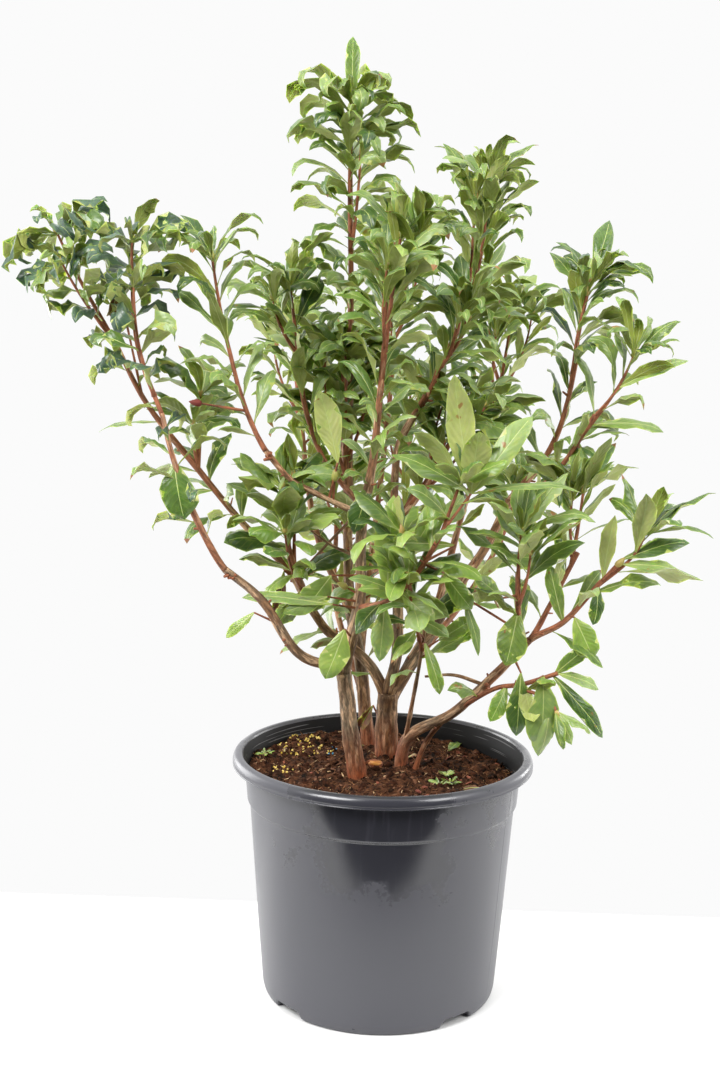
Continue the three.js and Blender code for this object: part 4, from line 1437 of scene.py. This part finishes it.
def clothe(region, path, habit, scale=1.0, bare=0.0, sparse=1.0, tip=True):
    """Sets leaves along a shoot from its share bare, and the whorl at its tip."""
    whorl = habit["whorl"]
    ahead, across, over = frames_along(path)
    length = length_along(path)[-1]
    count = max(2, int(length * (1 - bare) / (habit["spacing"] * sparse)))
    turn = rng.uniform(0, 2 * math.pi)
    steep, shut = habit["launch"]
    rows = [(bare + (1 - bare) * ((i + 0.5) / count) ** 0.85 * 0.97, None) for i in range(count)]
    if tip:
        rows += [(0.975 + 0.02 * i / whorl, "whorl") for i in range(whorl)]
        rows += [(1.0, "bud") for _ in range(BUD_LEAVES)]
    for i, (share, kind) in enumerate(rows):
        at = share * (len(path) - 1)
        near = min(int(at), len(path) - 2)
        base = path[near] + (path[near + 1] - path[near]) * (at - near)
        angle = turn + i * GOLDEN_ANGLE + rng.uniform(-0.25, 0.25)
        outward = math.cos(angle) * across[near] + math.sin(angle) * over[near]
        if kind == "bud":
            launch = rng.uniform(0.1, 0.3)
            size = rng.uniform(0.45, 0.8)
        elif kind == "whorl":
            launch = shut + rng.uniform(0.0, 0.5)
            size = 0.95
        else:
            launch = steep + (shut - steep) * share + rng.uniform(-0.12, 0.12)
            size = 0.72 + 0.28 * min(1, (share - bare) * 4)
        set_leaf(region, base, ahead[near], outward, launch, habit, scale * size)


print("leaves stand", round(math.degrees(GOLDEN_ANGLE), 1), "degrees apart round a shoot")

# %% [markdown]
# Buds: next year's flowers are already there, one plump pointed bud inside each whorl. A bud is a small
# turned body whose scales overlap, drawn as a ripple that shifts round from ring to ring.

# %% A bud
BUD_ROWS = np.array([0, 0.12, 0.3, 0.52, 0.74, 0.9, 1.0])
BUD_WIDTHS = np.array([0.55, 0.85, 1.0, 0.93, 0.62, 0.28, 0.06])
BUD_SIDES = 7
BUD_GIRTH = 0.29  # half-width, as a share of its length
BUD_SUNK = 1  # how deep it sits in the shoot's tip
buds = Batch()


def set_bud(base, heading, length=None, material=0):
    """Adds one bud. Its length is in millimetres, and drawn at random where none is given."""
    length = length or rng.uniform(9, 13)
    ahead, across, over = frames_along(np.array([base, base + unit(heading)]))
    angle = np.linspace(0, 2 * math.pi, BUD_SIDES, endpoint=False)
    scales = 1 + 0.1 * np.sin(3 * angle + np.arange(len(BUD_ROWS))[:, None] * 1.8)
    radius = BUD_GIRTH * length * BUD_WIDTHS[:, None] * scales
    ring = np.cos(angle)[:, None] * across[0] + np.sin(angle)[:, None] * over[0]
    points = base + (BUD_ROWS * length - BUD_SUNK)[:, None, None] * ahead[0] + radius[..., None] * ring
    tint = np.full(points.shape[0] * BUD_SIDES, rng.uniform(0, 1))
    buds.add(points.reshape(-1, 3) * MM, tube_faces(len(BUD_ROWS), BUD_SIDES), material, tint=tint)


print("a bud has", len(BUD_ROWS), "rings with", BUD_SIDES, "sides")

# %% [markdown]
# ## The crown
# Each row below is one mass of the frame: its line from its limb to its furthest leaves, its half-width, the
# part of the crown it belongs to, its habit, and how many side shoots stand beside its leading shoot. Some
# say more: how sparse its leaves stand and their size, how much of the line its tip leaves fill (tip), how
# much of the limb below is leafy (leafy), and what it has of its own in place of its habit's numbers (own).

# %% The masses and their shoots
BLUISH = dict(tones=("dusky", "deep", "mid", "soft", "deep"))
LARGE = dict(
    tones=("deep", "mid", "mid", "soft", "mid"), unders=("pale", "olive"),
    length=(72, 98), slender=(0.22, 0.31),
    arch=(0.1, 0.8), curl=(0.0, 0.9), fold=(0.1, 0.5), twist=0.7, spacing=15, whorl=6,
)
CROWN = {
    "mass_far_left": dict(
        stops=[("bough_left_long_upper", 0.97), (-346, -40, 832), (-386, -42, 920)],
        girth=76, region="left", habit="weathered", sides=1, sparse=1.3, size=1.1, leafy=60,
        own=dict(whorl=13),
    ),
    "mass_left_second": dict(
        stops=[("bough_left_low_upper", 0.97), (-272, -80, 753), (-278, -70, 918)],
        girth=60, region="left", habit="weathered", sides=1, sparse=1.15, size=1.05,
    ),
    "mass_left_third": dict(
        stops=[("bough_left_third_upper", 0.97), (-183, -62, 780), (-203, -60, 898)],
        girth=62, region="left", habit="crown", sides=0,
    ),
    "mass_left_back": dict(
        stops=[("bough_left_back", 0.9), (-112, 42, 790), (-124, 45, 872)],
        girth=68, region="left", habit="crown", sides=1, sparse=1.15,
    ),
    "mass_leader": dict(
        stops=[("stem_leader", 0.95), (-50, 42, 940), (-49, 30, 1085)],
        girth=60, region="middle", habit="crown", sides=1, sparse=0.6, tip=62,
        own=dict(slender=(0.24, 0.33), launch=(1.0, 0.55), arch=(0.3, 1.5), curl=(0.8, 2.8), whorl=13),
    ),
    "mass_front": dict(
        stops=[("bough_front", 0.9), (-2, -45, 800), (14, -45, 926)],
        girth=66, region="middle", habit="crown", sides=3, sparse=0.85,
        own=dict(tones=("fresh", "soft", "mid", "soft", "deep")),
    ),
    "mass_centre": dict(
        stops=[("bough_centre", 0.93), (98, 50, 840), (110, 50, 990)],
        girth=60, region="middle", habit="crown", sides=2, sparse=0.85,
    ),
    "mass_centre_side": dict(
        stops=[("bough_centre_side", 0.85), (78, -25, 770), (88, -40, 850)],
        girth=54, region="middle", habit="crown", sides=2,
    ),
    "mass_right_upper": dict(
        stops=[("bough_right_upper", 0.8), (215, 44, 770), (238, 44, 882)],
        girth=62, region="right", habit="crown", sides=1, sparse=1.15, own=BLUISH,
    ),
    "mass_right_second": dict(
        stops=[("bough_right_second", 0.85), (258, -8, 720), (285, -15, 800)],
        girth=62, region="right", habit="crown", sides=0, sparse=1.2,
    ),
    "mass_right_low": dict(
        stops=[("bough_right_low", 0.9), (268, -88, 540), (290, -82, 612)],
        girth=60, region="right", habit="crown", sides=0, own=LARGE,
    ),
    "mass_right_low_back": dict(
        stops=[("bough_right_low_back", 0.85), (216, -28, 590), (218, -15, 650)],
        girth=54, region="right", habit="crown", sides=1, own=LARGE,
    ),
    "mass_right_low_inner": dict(
        stops=[("bough_right_low_inner", 0.5), (140, -100, 540), (148, -105, 615)],
        girth=52, region="right", habit="crown", sides=1, own=LARGE,
    ),
    "mass_right_hanging": dict(
        stops=[("bough_right_hanging", 0.6), (182, -105, 372), (188, -112, 310)],
        girth=62, region="right", habit="low", sides=0, sparse=2.5, size=0.8, own=dict(whorl=2),
    ),
    "mass_front_low": dict(
        stops=[("bough_thin", 0.8), (22, -95, 510), (5, -125, 612)],
        girth=60, region="low", habit="low", sides=1, leafy=40,
    ),
    "mass_front_shoot": dict(
        stops=[("bough_front_low", 0.9), (80, -132, 640), (102, -130, 728)],
        girth=58, region="low", habit="low", sides=0, tip=115, size=0.95,
    ),
    "mass_left_low": dict(
        stops=[("bough_left_long", 0.85), (-112, -15, 530), (-122, -30, 650)],
        girth=66, region="low", habit="low", sides=2, sparse=1.15,
    ),
    "mass_left_inner": dict(
        stops=[("bough_left_long_upper", 0.5), (-212, -8, 670), (-212, -8, 750)],
        girth=54, region="left", habit="inner", sides=1,
    ),
    "mass_centre_inner": dict(
        stops=[("stem_leader", 0.5), (-52, 78, 660), (-58, 66, 800)],
        girth=74, region="middle", habit="inner", sides=5,
    ),
    "mass_centre_low": dict(
        stops=[("bough_centre", 0.45), (55, 45, 610), (115, 50, 745)],
        girth=72, region="middle", habit="inner", sides=5,
    ),
    "mass_back_left": dict(
        stops=[("bough_back_left", 0.95), (-118, 215, 730), (-124, 230, 835)],
        girth=74, region="back", habit="crown", sides=3,
    ),
    "mass_back_centre": dict(
        stops=[("bough_back_centre", 0.97), (8, 220, 800), (10, 230, 925)],
        girth=78, region="back", habit="crown", sides=3,
    ),
    "mass_back_right": dict(
        stops=[("bough_back_right", 0.95), (148, 212, 740), (160, 226, 850)],
        girth=74, region="back", habit="crown", sides=3,
    ),
    "mass_back_low_left": dict(
        stops=[("bough_back_low_left", 0.95), (-64, 255, 560), (-66, 272, 640)],
        girth=66, region="back", habit="inner", sides=2,
    ),
    "mass_back_low_right": dict(
        stops=[("bough_back_low_right", 0.95), (172, 252, 550), (180, 268, 632)],
        girth=66, region="back", habit="inner", sides=2,
    ),
    "mass_back_far": dict(
        stops=[("bough_back_far", 0.95), (32, 335, 640), (35, 350, 735)],
        girth=72, region="back", habit="crown", sides=2,
    ),
}
print("masses:", len(CROWN))

# %% [markdown]
# Growing them: the leading shoot follows its mass's line and stops short of its end by the length of its last
# leaves. Side shoots leave it at seeded places and curve outwards and up. Below it, sparse leaves stand on
# the end of the limb. Each mass has a seed of its own, so a change to one leaves the others as they are.

# %% Grow the crown
CROWN_SEED = 100
SHOOT_RINGS, SHOOT_SIDES, SIDE_SHOOT_SIDES = 24, 8, 6
SHOOT_TIP = 1.4  # half-widths in mm
SIDE_SHOOT_FOOT, SIDE_SHOOT_TIP = 2.3, 1.2
TIP_LEAVES = 56  # mm of a mass's line that its last leaves fill, past the wood
SIDE_LEAVES = 46  # mm of its half-width that a side shoot's leaves fill
LEAFY_LIMB = 150  # mm of a limb, below its mass, that carries sparse leaves
SPARSE = 1.15  # how much further apart those stand


def part_of(path, start, end):
    return np.array([spot_on(path, share) for share in np.linspace(start, end, SHOOT_RINGS)])


def grow(mass):
    """Grows one mass's leading shoot and its side shoots, and clothes them with leaves."""
    habit = {**HABITS[mass["habit"]], **mass.get("own", {})}
    line = smooth_path(mass["stops"])
    length = length_along(line)[-1]
    limb, share = mass["stops"][0]
    foot = limb_spot(limb, share)[2]
    leader = part_of(line, 0, 1 - mass.get("tip", TIP_LEAVES) / length)
    half_widths = np.linspace(foot, SHOOT_TIP, SHOOT_RINGS)
    bark_tube(twigs, leader, half_widths, SHOOT_SIDES, len(twigs.points), collar=False)
    clothe(mass["region"], leader, habit, scale=mass.get("size", 1), sparse=mass.get("sparse", 1))
    set_bud(leader[-1], leader[-1] - leader[-2])
    limb_length = length_along(paths[limb])[-1]
    leafy = part_of(paths[limb], max(0.1, share - mass.get("leafy", LEAFY_LIMB) / limb_length), share)
    clothe(mass["region"], leafy, habit, scale=0.9, sparse=mass.get("sparse", 1) * SPARSE, tip=False)
    ahead, across, over = frames_along(leader)
    turn = rng.uniform(0, 2 * math.pi)
    for k in range(mass["sides"]):
        start = 0.05 + 0.45 * k / mass["sides"] + rng.uniform(0, 0.1)
        end = min(1, start + rng.uniform(0.5, 0.8))
        at = int(start * (SHOOT_RINGS - 1))
        angle = turn + k * GOLDEN_ANGLE
        outward = math.cos(angle) * across[at] + math.sin(angle) * over[at]
        t = np.linspace(0, 1, SHOOT_RINGS)[:, None]
        reach = max(12, mass["girth"] - SIDE_LEAVES) * rng.uniform(0.9, 1.2)
        shoot = part_of(leader, start, end) + outward * reach * (1 - (1 - t) ** 2)
        half_widths = np.linspace(SIDE_SHOOT_FOOT, SIDE_SHOOT_TIP, SHOOT_RINGS)
        bark_tube(twigs, shoot, half_widths, SIDE_SHOOT_SIDES, len(twigs.points))
        clothe(mass["region"], shoot, habit, scale=0.88, bare=0.2)
        set_bud(shoot[-1], shoot[-1] - shoot[-2])


for number, mass in enumerate(CROWN.values()):
    rng = np.random.default_rng(CROWN_SEED + number)
    grow(mass)
print("leaves:", {region: len(members) for region, members in leaves.items()})

# %% [markdown]
# Single leaves: a shrub isn't even. Here and there a leaf is larger, hangs alone, or shows its pale back.
# Each is told by its limb, how far along it stands, where its blade starts if a spur holds it off the limb,
# where its tip reaches, the way its upper side looks, its width, and its tone. A few buds stand alone too.

# %% Single leaves and buds
SPUR_FOOT, SPUR_TIP = 1.7, 1.1  # half-widths of a spur that holds a leaf or a bud
FRONT, BACK, ASIDE = (0, -1, 0.15), (0, 1, -0.1), (0.4, -0.9, 0)  # ways that an upper side looks
SHOOT_FORK = (84, -134, 605)  # where a tuft of large leaves parts
SINGLE_LEAVES = [
    ("middle", "stem_leader", 1, (-49, 33, 1022), (-48, 30, 1091), FRONT, 18, "mid"),
    ("left", "bough_left_low_upper", 0.71, None, (-222, -118, 571), FRONT, 40, "deep"),
    ("middle", "bough_front", 0.58, None, (-35, -44, 549), FRONT, 27, "deep"),
    ("low", "bough_front_low", 0.33, None, (-2, -90, 592), FRONT, 32, "fresh"),
    ("low", "bough_front_low", 0.3, None, (-6, -96, 415), FRONT, 24, "soft"),
    ("low", "bough_front", 0.11, (-46, -60, 442), (-64, -75, 388), FRONT, 32, "fresh"),
    ("low", "bough_front", 0.2, (-60, -62, 470), (-158, -70, 486), (0, -0.7, 0.7), 17, "soft"),
    ("low", "bough_front", 0.22, (-66, -58, 478), (-112, -72, 462), (0, -0.9, 0.4), 20, "soft"),
    ("low", "bough_front", 0.3, (-62, -48, 500), (-92, -60, 462), FRONT, 32, "mid"),
    ("low", "bough_left_low", 0.55, (-146, -70, 461), (-178, -75, 434), (0, -0.8, 0.5), 13, "fresh"),
    ("low", "bough_front_low", 0.46, None, (53, -104, 460), (0, -0.8, 0.5), 26, "fresh"),
    ("low", "bough_front_low", 0.45, None, (-39, -96, 514), (0, -0.6, 0.8), 16, "soft"),
    ("low", "bough_front_low", 0.7, (60, -98, 514), (90, -104, 474), FRONT, 24, "fresh"),
    ("low", "bough_front_low", 0.72, (71, -104, 545), (-6, -112, 552), (0, -0.7, 0.6), 20, "mid"),
    ("low", "bough_thin", 0.85, (43, -64, 429), (63, -80, 376), (0.5, -1, 0.2), 17, "fresh"),
    ("low", "bough_thin", 0.9, (32, -68, 444), (10, -80, 417), FRONT, 20, "mid"),
    ("low", "bough_thin", 0.8, (58, -62, 432), (92, -78, 457), (0, -0.9, 0.4), 22, "fresh"),
    ("right", "bough_right_low_inner", 0.2, (82, -88, 487), (106, -100, 425), (0.4, -1, 0.3), 13, "soft"),
    ("right", "bough_right_low_inner", 0.7, (124, -90, 486), (96, -100, 512), FRONT, 18, "soft"),
    ("right", "bough_right_low_inner", 0.5, None, (132, -95, 412), FRONT, 34, "mid"),
    ("right", "bough_right_low", 0.5, (203, -94, 467), (224, -106, 424), FRONT, 30, "fresh"),
    ("right", "bough_right_low", 0.4, None, (172, -98, 519), FRONT, 19, "mid"),
    ("right", "bough_right_low", 0.95, None, (226, -106, 462), (0.5, -1, 0.2), 18, "deep"),
    ("low", "bough_front_low", 0.97, SHOOT_FORK, (60, -125, 727), BACK, 30, "mid"),
    ("low", "bough_front_low", 0.97, SHOOT_FORK, (87, -150, 676), BACK, 31, "mid"),
    ("low", "bough_front_low", 0.97, SHOOT_FORK, (146, -130, 688), (-0.3, -1, 0.3), 28, "soft"),
    ("low", "bough_front_low", 0.97, SHOOT_FORK, (192, -142, 631), (0, -0.5, 1), 18, "soft"),
    ("low", "bough_front_low", 0.97, SHOOT_FORK, (8, -142, 655), (0, -0.7, 0.7), 25, "mid"),
    ("left", "bough_left_third", 0.34, (-57, -50, 626), (-74, -55, 708), BACK, 29, "mid"),
    ("left", "bough_left_long_upper", 0.7, None, (-318, -48, 668), (0, -0.3, 1), 14, "soft"),
    ("right", "bough_right_second", 0.98, (255, -10, 712), (328, -10, 752), (0, -0.6, 0.8), 19, "soft"),
    ("right", "bough_right_second", 0.93, None, (308, 0, 678), (0, -0.5, 0.9), 21, "mid"),
    ("right", "bough_right_low", 0.98, (250, -90, 530), (322, -90, 560), (0, -0.5, 0.9), 22, "deep"),
    ("right", "bough_right_low", 0.99, (252, -92, 526), (318, -96, 528), (0, -0.6, 0.8), 20, "soft"),
    ("right", "bough_right_hanging", 0.8, (170, -104, 404), (174, -115, 323), FRONT, 36, "soft"),
    ("right", "bough_right_hanging", 0.95, None, (246, -102, 338), (0.3, -1, 0.3), 20, "deep"),
    ("right", "stem_right", 0.9, (148, -84, 402), (144, -100, 334), FRONT, 26, "deep"),
    ("right", "bough_right_hanging", 0.55, None, (118, -98, 352), FRONT, 20, "fresh"),
    ("right", "bough_right_hanging", 1, None, (234, -98, 396), (0, -0.6, 0.8), 17, "soft"),
    ("right", "bough_right_hanging", 0.97, None, (214, -104, 436), FRONT, 18, "mid"),
    ("right", "bough_right_hanging", 0.7, None, (158, -112, 350), BACK, 22, "mid"),
    ("left", "bough_left_long", 0.95, None, (-62, 28, 512), (0, -0.8, 0.6), 22, "withered"),
    ("left", "bough_left_long", 0.99, (-118, 20, 492), (-126, 10, 430), FRONT, 24, "withered"),
    ("middle", "stem_centre", 0.5, (-12, 50, 326), (-30, 42, 296), FRONT, 20, "withered"),
    ("left", "bough_left_long_upper", 0.8, (-296, -46, 812), (-304, -60, 778), ASIDE, 22, "withered"),
]
SINGLE_BUDS = [  # limb, share, tip of the spur, length
    ("bough_left_third", 0.3, (-60, -45, 606), 15),
    ("bough_front", 0.24, (-45, -34, 484), 14),
    ("bough_front", 0.26, (-26, -38, 486), 13),
    ("bough_front_low", 0.41, (8, -93, 490), 13),
    ("bough_front", 0.14, (-30, -44, 452), 12),
    ("bough_right_low", 1, (246, -92, 524), 14),
]
WITHERED_BUD = ("bough_left_third_upper", 0.6, (-204, -79, 690), 14)


def hold_off(limb, share, end):
    """A thin spur from a limb to a place beside it."""
    path = smooth_path([(limb, share), tuple(0.5 * (spot_on(paths[limb], share) + end)), end])
    half_widths = np.linspace(SPUR_FOOT, SPUR_TIP, len(path))
    bark_tube(twigs, path, half_widths, SIDE_SHOOT_SIDES, len(twigs.points), collar=False)
    return path


for region, limb, share, start, tip, face, width, tone in SINGLE_LEAVES:
    base = spot_on(paths[limb], share) if start is None else hold_off(limb, share, start)[-1]
    reach = np.array(tip) - base
    length = np.linalg.norm(reach)
    withered = tone == "withered"
    leaves[region].append(dict(
        base=base, axis=reach / length, up=unit(face),
        length=length * 1.04, width=width, belly=1.25, blunt=0.7, arch=0.25, curl=2.0 if withered else 0.5,
        sway=rng.uniform(-0.06, 0.06), twist=rng.uniform(-0.3, 0.3), fold=0.9 if withered else 0.15,
        roll=0.25, wave=0.2, phase=rng.uniform(0, 6.3), tint=rng.uniform(0, 1),
        tone=tone, under="pale", dry=False,
    ))
for single_bud in [*SINGLE_BUDS, WITHERED_BUD]:
    limb, share, end, length = single_bud
    path = hold_off(limb, share, end)
    set_bud(path[-1], path[-1] - path[-2], length, int(single_bud == WITHERED_BUD))
print("single leaves:", len(SINGLE_LEAVES), "and buds:", len(SINGLE_BUDS) + 1)

# %% [markdown]
# From numbers to a mesh: the leaves of a region are drawn in one go and joined as one piece. Each face takes
# the finish of its part of the leaf. The vein map says for each point how far along the leaf its side vein
# left the midrib, and how far out it is.

# %% Make the leaf pieces
VEIN_SLANT = 2.4  # how many veins further on a side vein meets the edge
OUT_FROM_MIDRIB = np.array([1, 0.5, 0.05, 0.05, 0.5, 1, 0.05, 0.05])  # of a row's points
CREASE = math.radians(80)  # sharper edges than this aren't shaded smooth


def leaf_piece(name, members):
    """Draws a region's leaves as one piece, with a material for each part of each leaf."""
    points = leaf_points(members) * MM
    each = points.shape[1] * points.shape[2]
    faces = LEAF_FACES[None] + np.arange(len(members))[:, None, None] * each
    chosen = []
    for leaf in members:
        slot = {
            "blade": LEAF_SLOTS.index(leaf["tone"]),
            "underside": LEAF_SLOTS.index("withered" if leaf["tone"] == "withered" else leaf["under"]),
            "midrib": LEAF_SLOTS.index("midrib"),
            "tip": LEAF_SLOTS.index("dry" if leaf["dry"] else leaf["tone"]),
        }
        chosen += [slot[part] for part in LEAF_PARTS]
    veins = VEIN_PAIRS * LEAF_ROWS[:, None] - VEIN_SLANT * OUT_FROM_MIDRIB
    uv = np.stack([veins, 0 * veins + OUT_FROM_MIDRIB], -1).reshape(-1, 2)
    piece = mesh_from(
        name,
        points.reshape(-1, 3),
        faces.reshape(-1, 4).tolist(),
        list(leaf_materials.values()),
        chosen,
        {
            "tint": np.repeat([leaf["tint"] for leaf in members], each),
            "along": np.tile(np.repeat(LEAF_ROWS, points.shape[2]), len(members)),
        },
        np.tile(uv, (len(members), 1)),
    )
    piece.data.set_sharp_from_angle(angle=CREASE)
    return piece


print("regions of leaves:", ", ".join(leaves))

# %% [markdown]
# On the compost: a few weed seedlings, each a small rosette, and old leaves that fell from the crown, most of
# them withered. Both are the crown's leaf again, at another size, laid on the height of the heap.

# %% Seedlings and fallen leaves on the compost
SEEDLINGS = [(74, -5), (65, -39), (78, -30), (-139, 37)]
SEEDLING_LEAVES, SEEDLING_LAUNCH, SEEDLING_SIZE = 7, 0.9, 0.17
LITTER = [  # place, tone, and length in mm
    (95, 118, "mid", 34),
    (-30, 84, "withered", 24),
    (20, 92, "withered", 30),
    (40, 60, "withered", 26),
    (-118, 60, "withered", 20),
    (104, -40, "withered", 22),
    (-60, -96, "withered", 18),
]
USUAL_LENGTH = 78  # mm, of a leaf of full size
ground_leaves = "seedlings_and_litter"
for x, y in SEEDLINGS:
    foot = np.array([x, y, soil_height(x, y) + 2])
    for k in range(SEEDLING_LEAVES):
        turn = k * GOLDEN_ANGLE
        outward = np.array([math.cos(turn), math.sin(turn), 0])
        upright = np.array([0, 0, 1])
        set_leaf(ground_leaves, foot, upright, outward, SEEDLING_LAUNCH, HABITS["low"], SEEDLING_SIZE)
for x, y, tone, length in LITTER:
    turn = rng.uniform(0, 2 * math.pi)
    middle = np.array([x, y, soil_height(x, y) + 5])
    heading = np.array([math.cos(turn), math.sin(turn), 0.1])
    start = middle - heading * length / 2
    set_leaf(ground_leaves, start, heading, heading, 0, HABITS["low"], length / USUAL_LENGTH)
    leaves[ground_leaves][-1].update(up=unit([0.2, -0.3, 1]), tone=tone, arch=0.3, wave=0.3, fold=0.3)
settle(leaf_piece(ground_leaves, leaves.pop(ground_leaves)), "foliage")

# %% [markdown]
# Putting it all in place: each region's leaves stand for its masses. The young shoots have the limbs' bark.
# Fresh cut wood is pale orange, dry and matt. The scales of a bud are waxy, and yellow-green going to straw.
# Those of a dead bud are dry and red-brown, with no shine left.

# %% Put the leaf pieces in place
for region, members in leaves.items():
    masses = [name for name, mass in CROWN.items() if mass["region"] == region]
    settle(leaf_piece(f"leaves_{region}", members), "foliage", *masses)
cut_wood = crumb_material("fresh_cut_wood", "#b5692a", "#e0a050", 0.6)
settle(twigs.piece("young_shoots", [bark_material, cut_wood]), "bark")
bud_scales = leaf_material("bud_scales", "#98a04a", "#c2a566", 0.45, 0.0)
dead_scales = leaf_material("withered_bud_scales", "#55201a", "#8c3e32", 0.7, 0.0)
settle(buds.piece("flower_buds", [bud_scales, dead_scales]), "foliage")
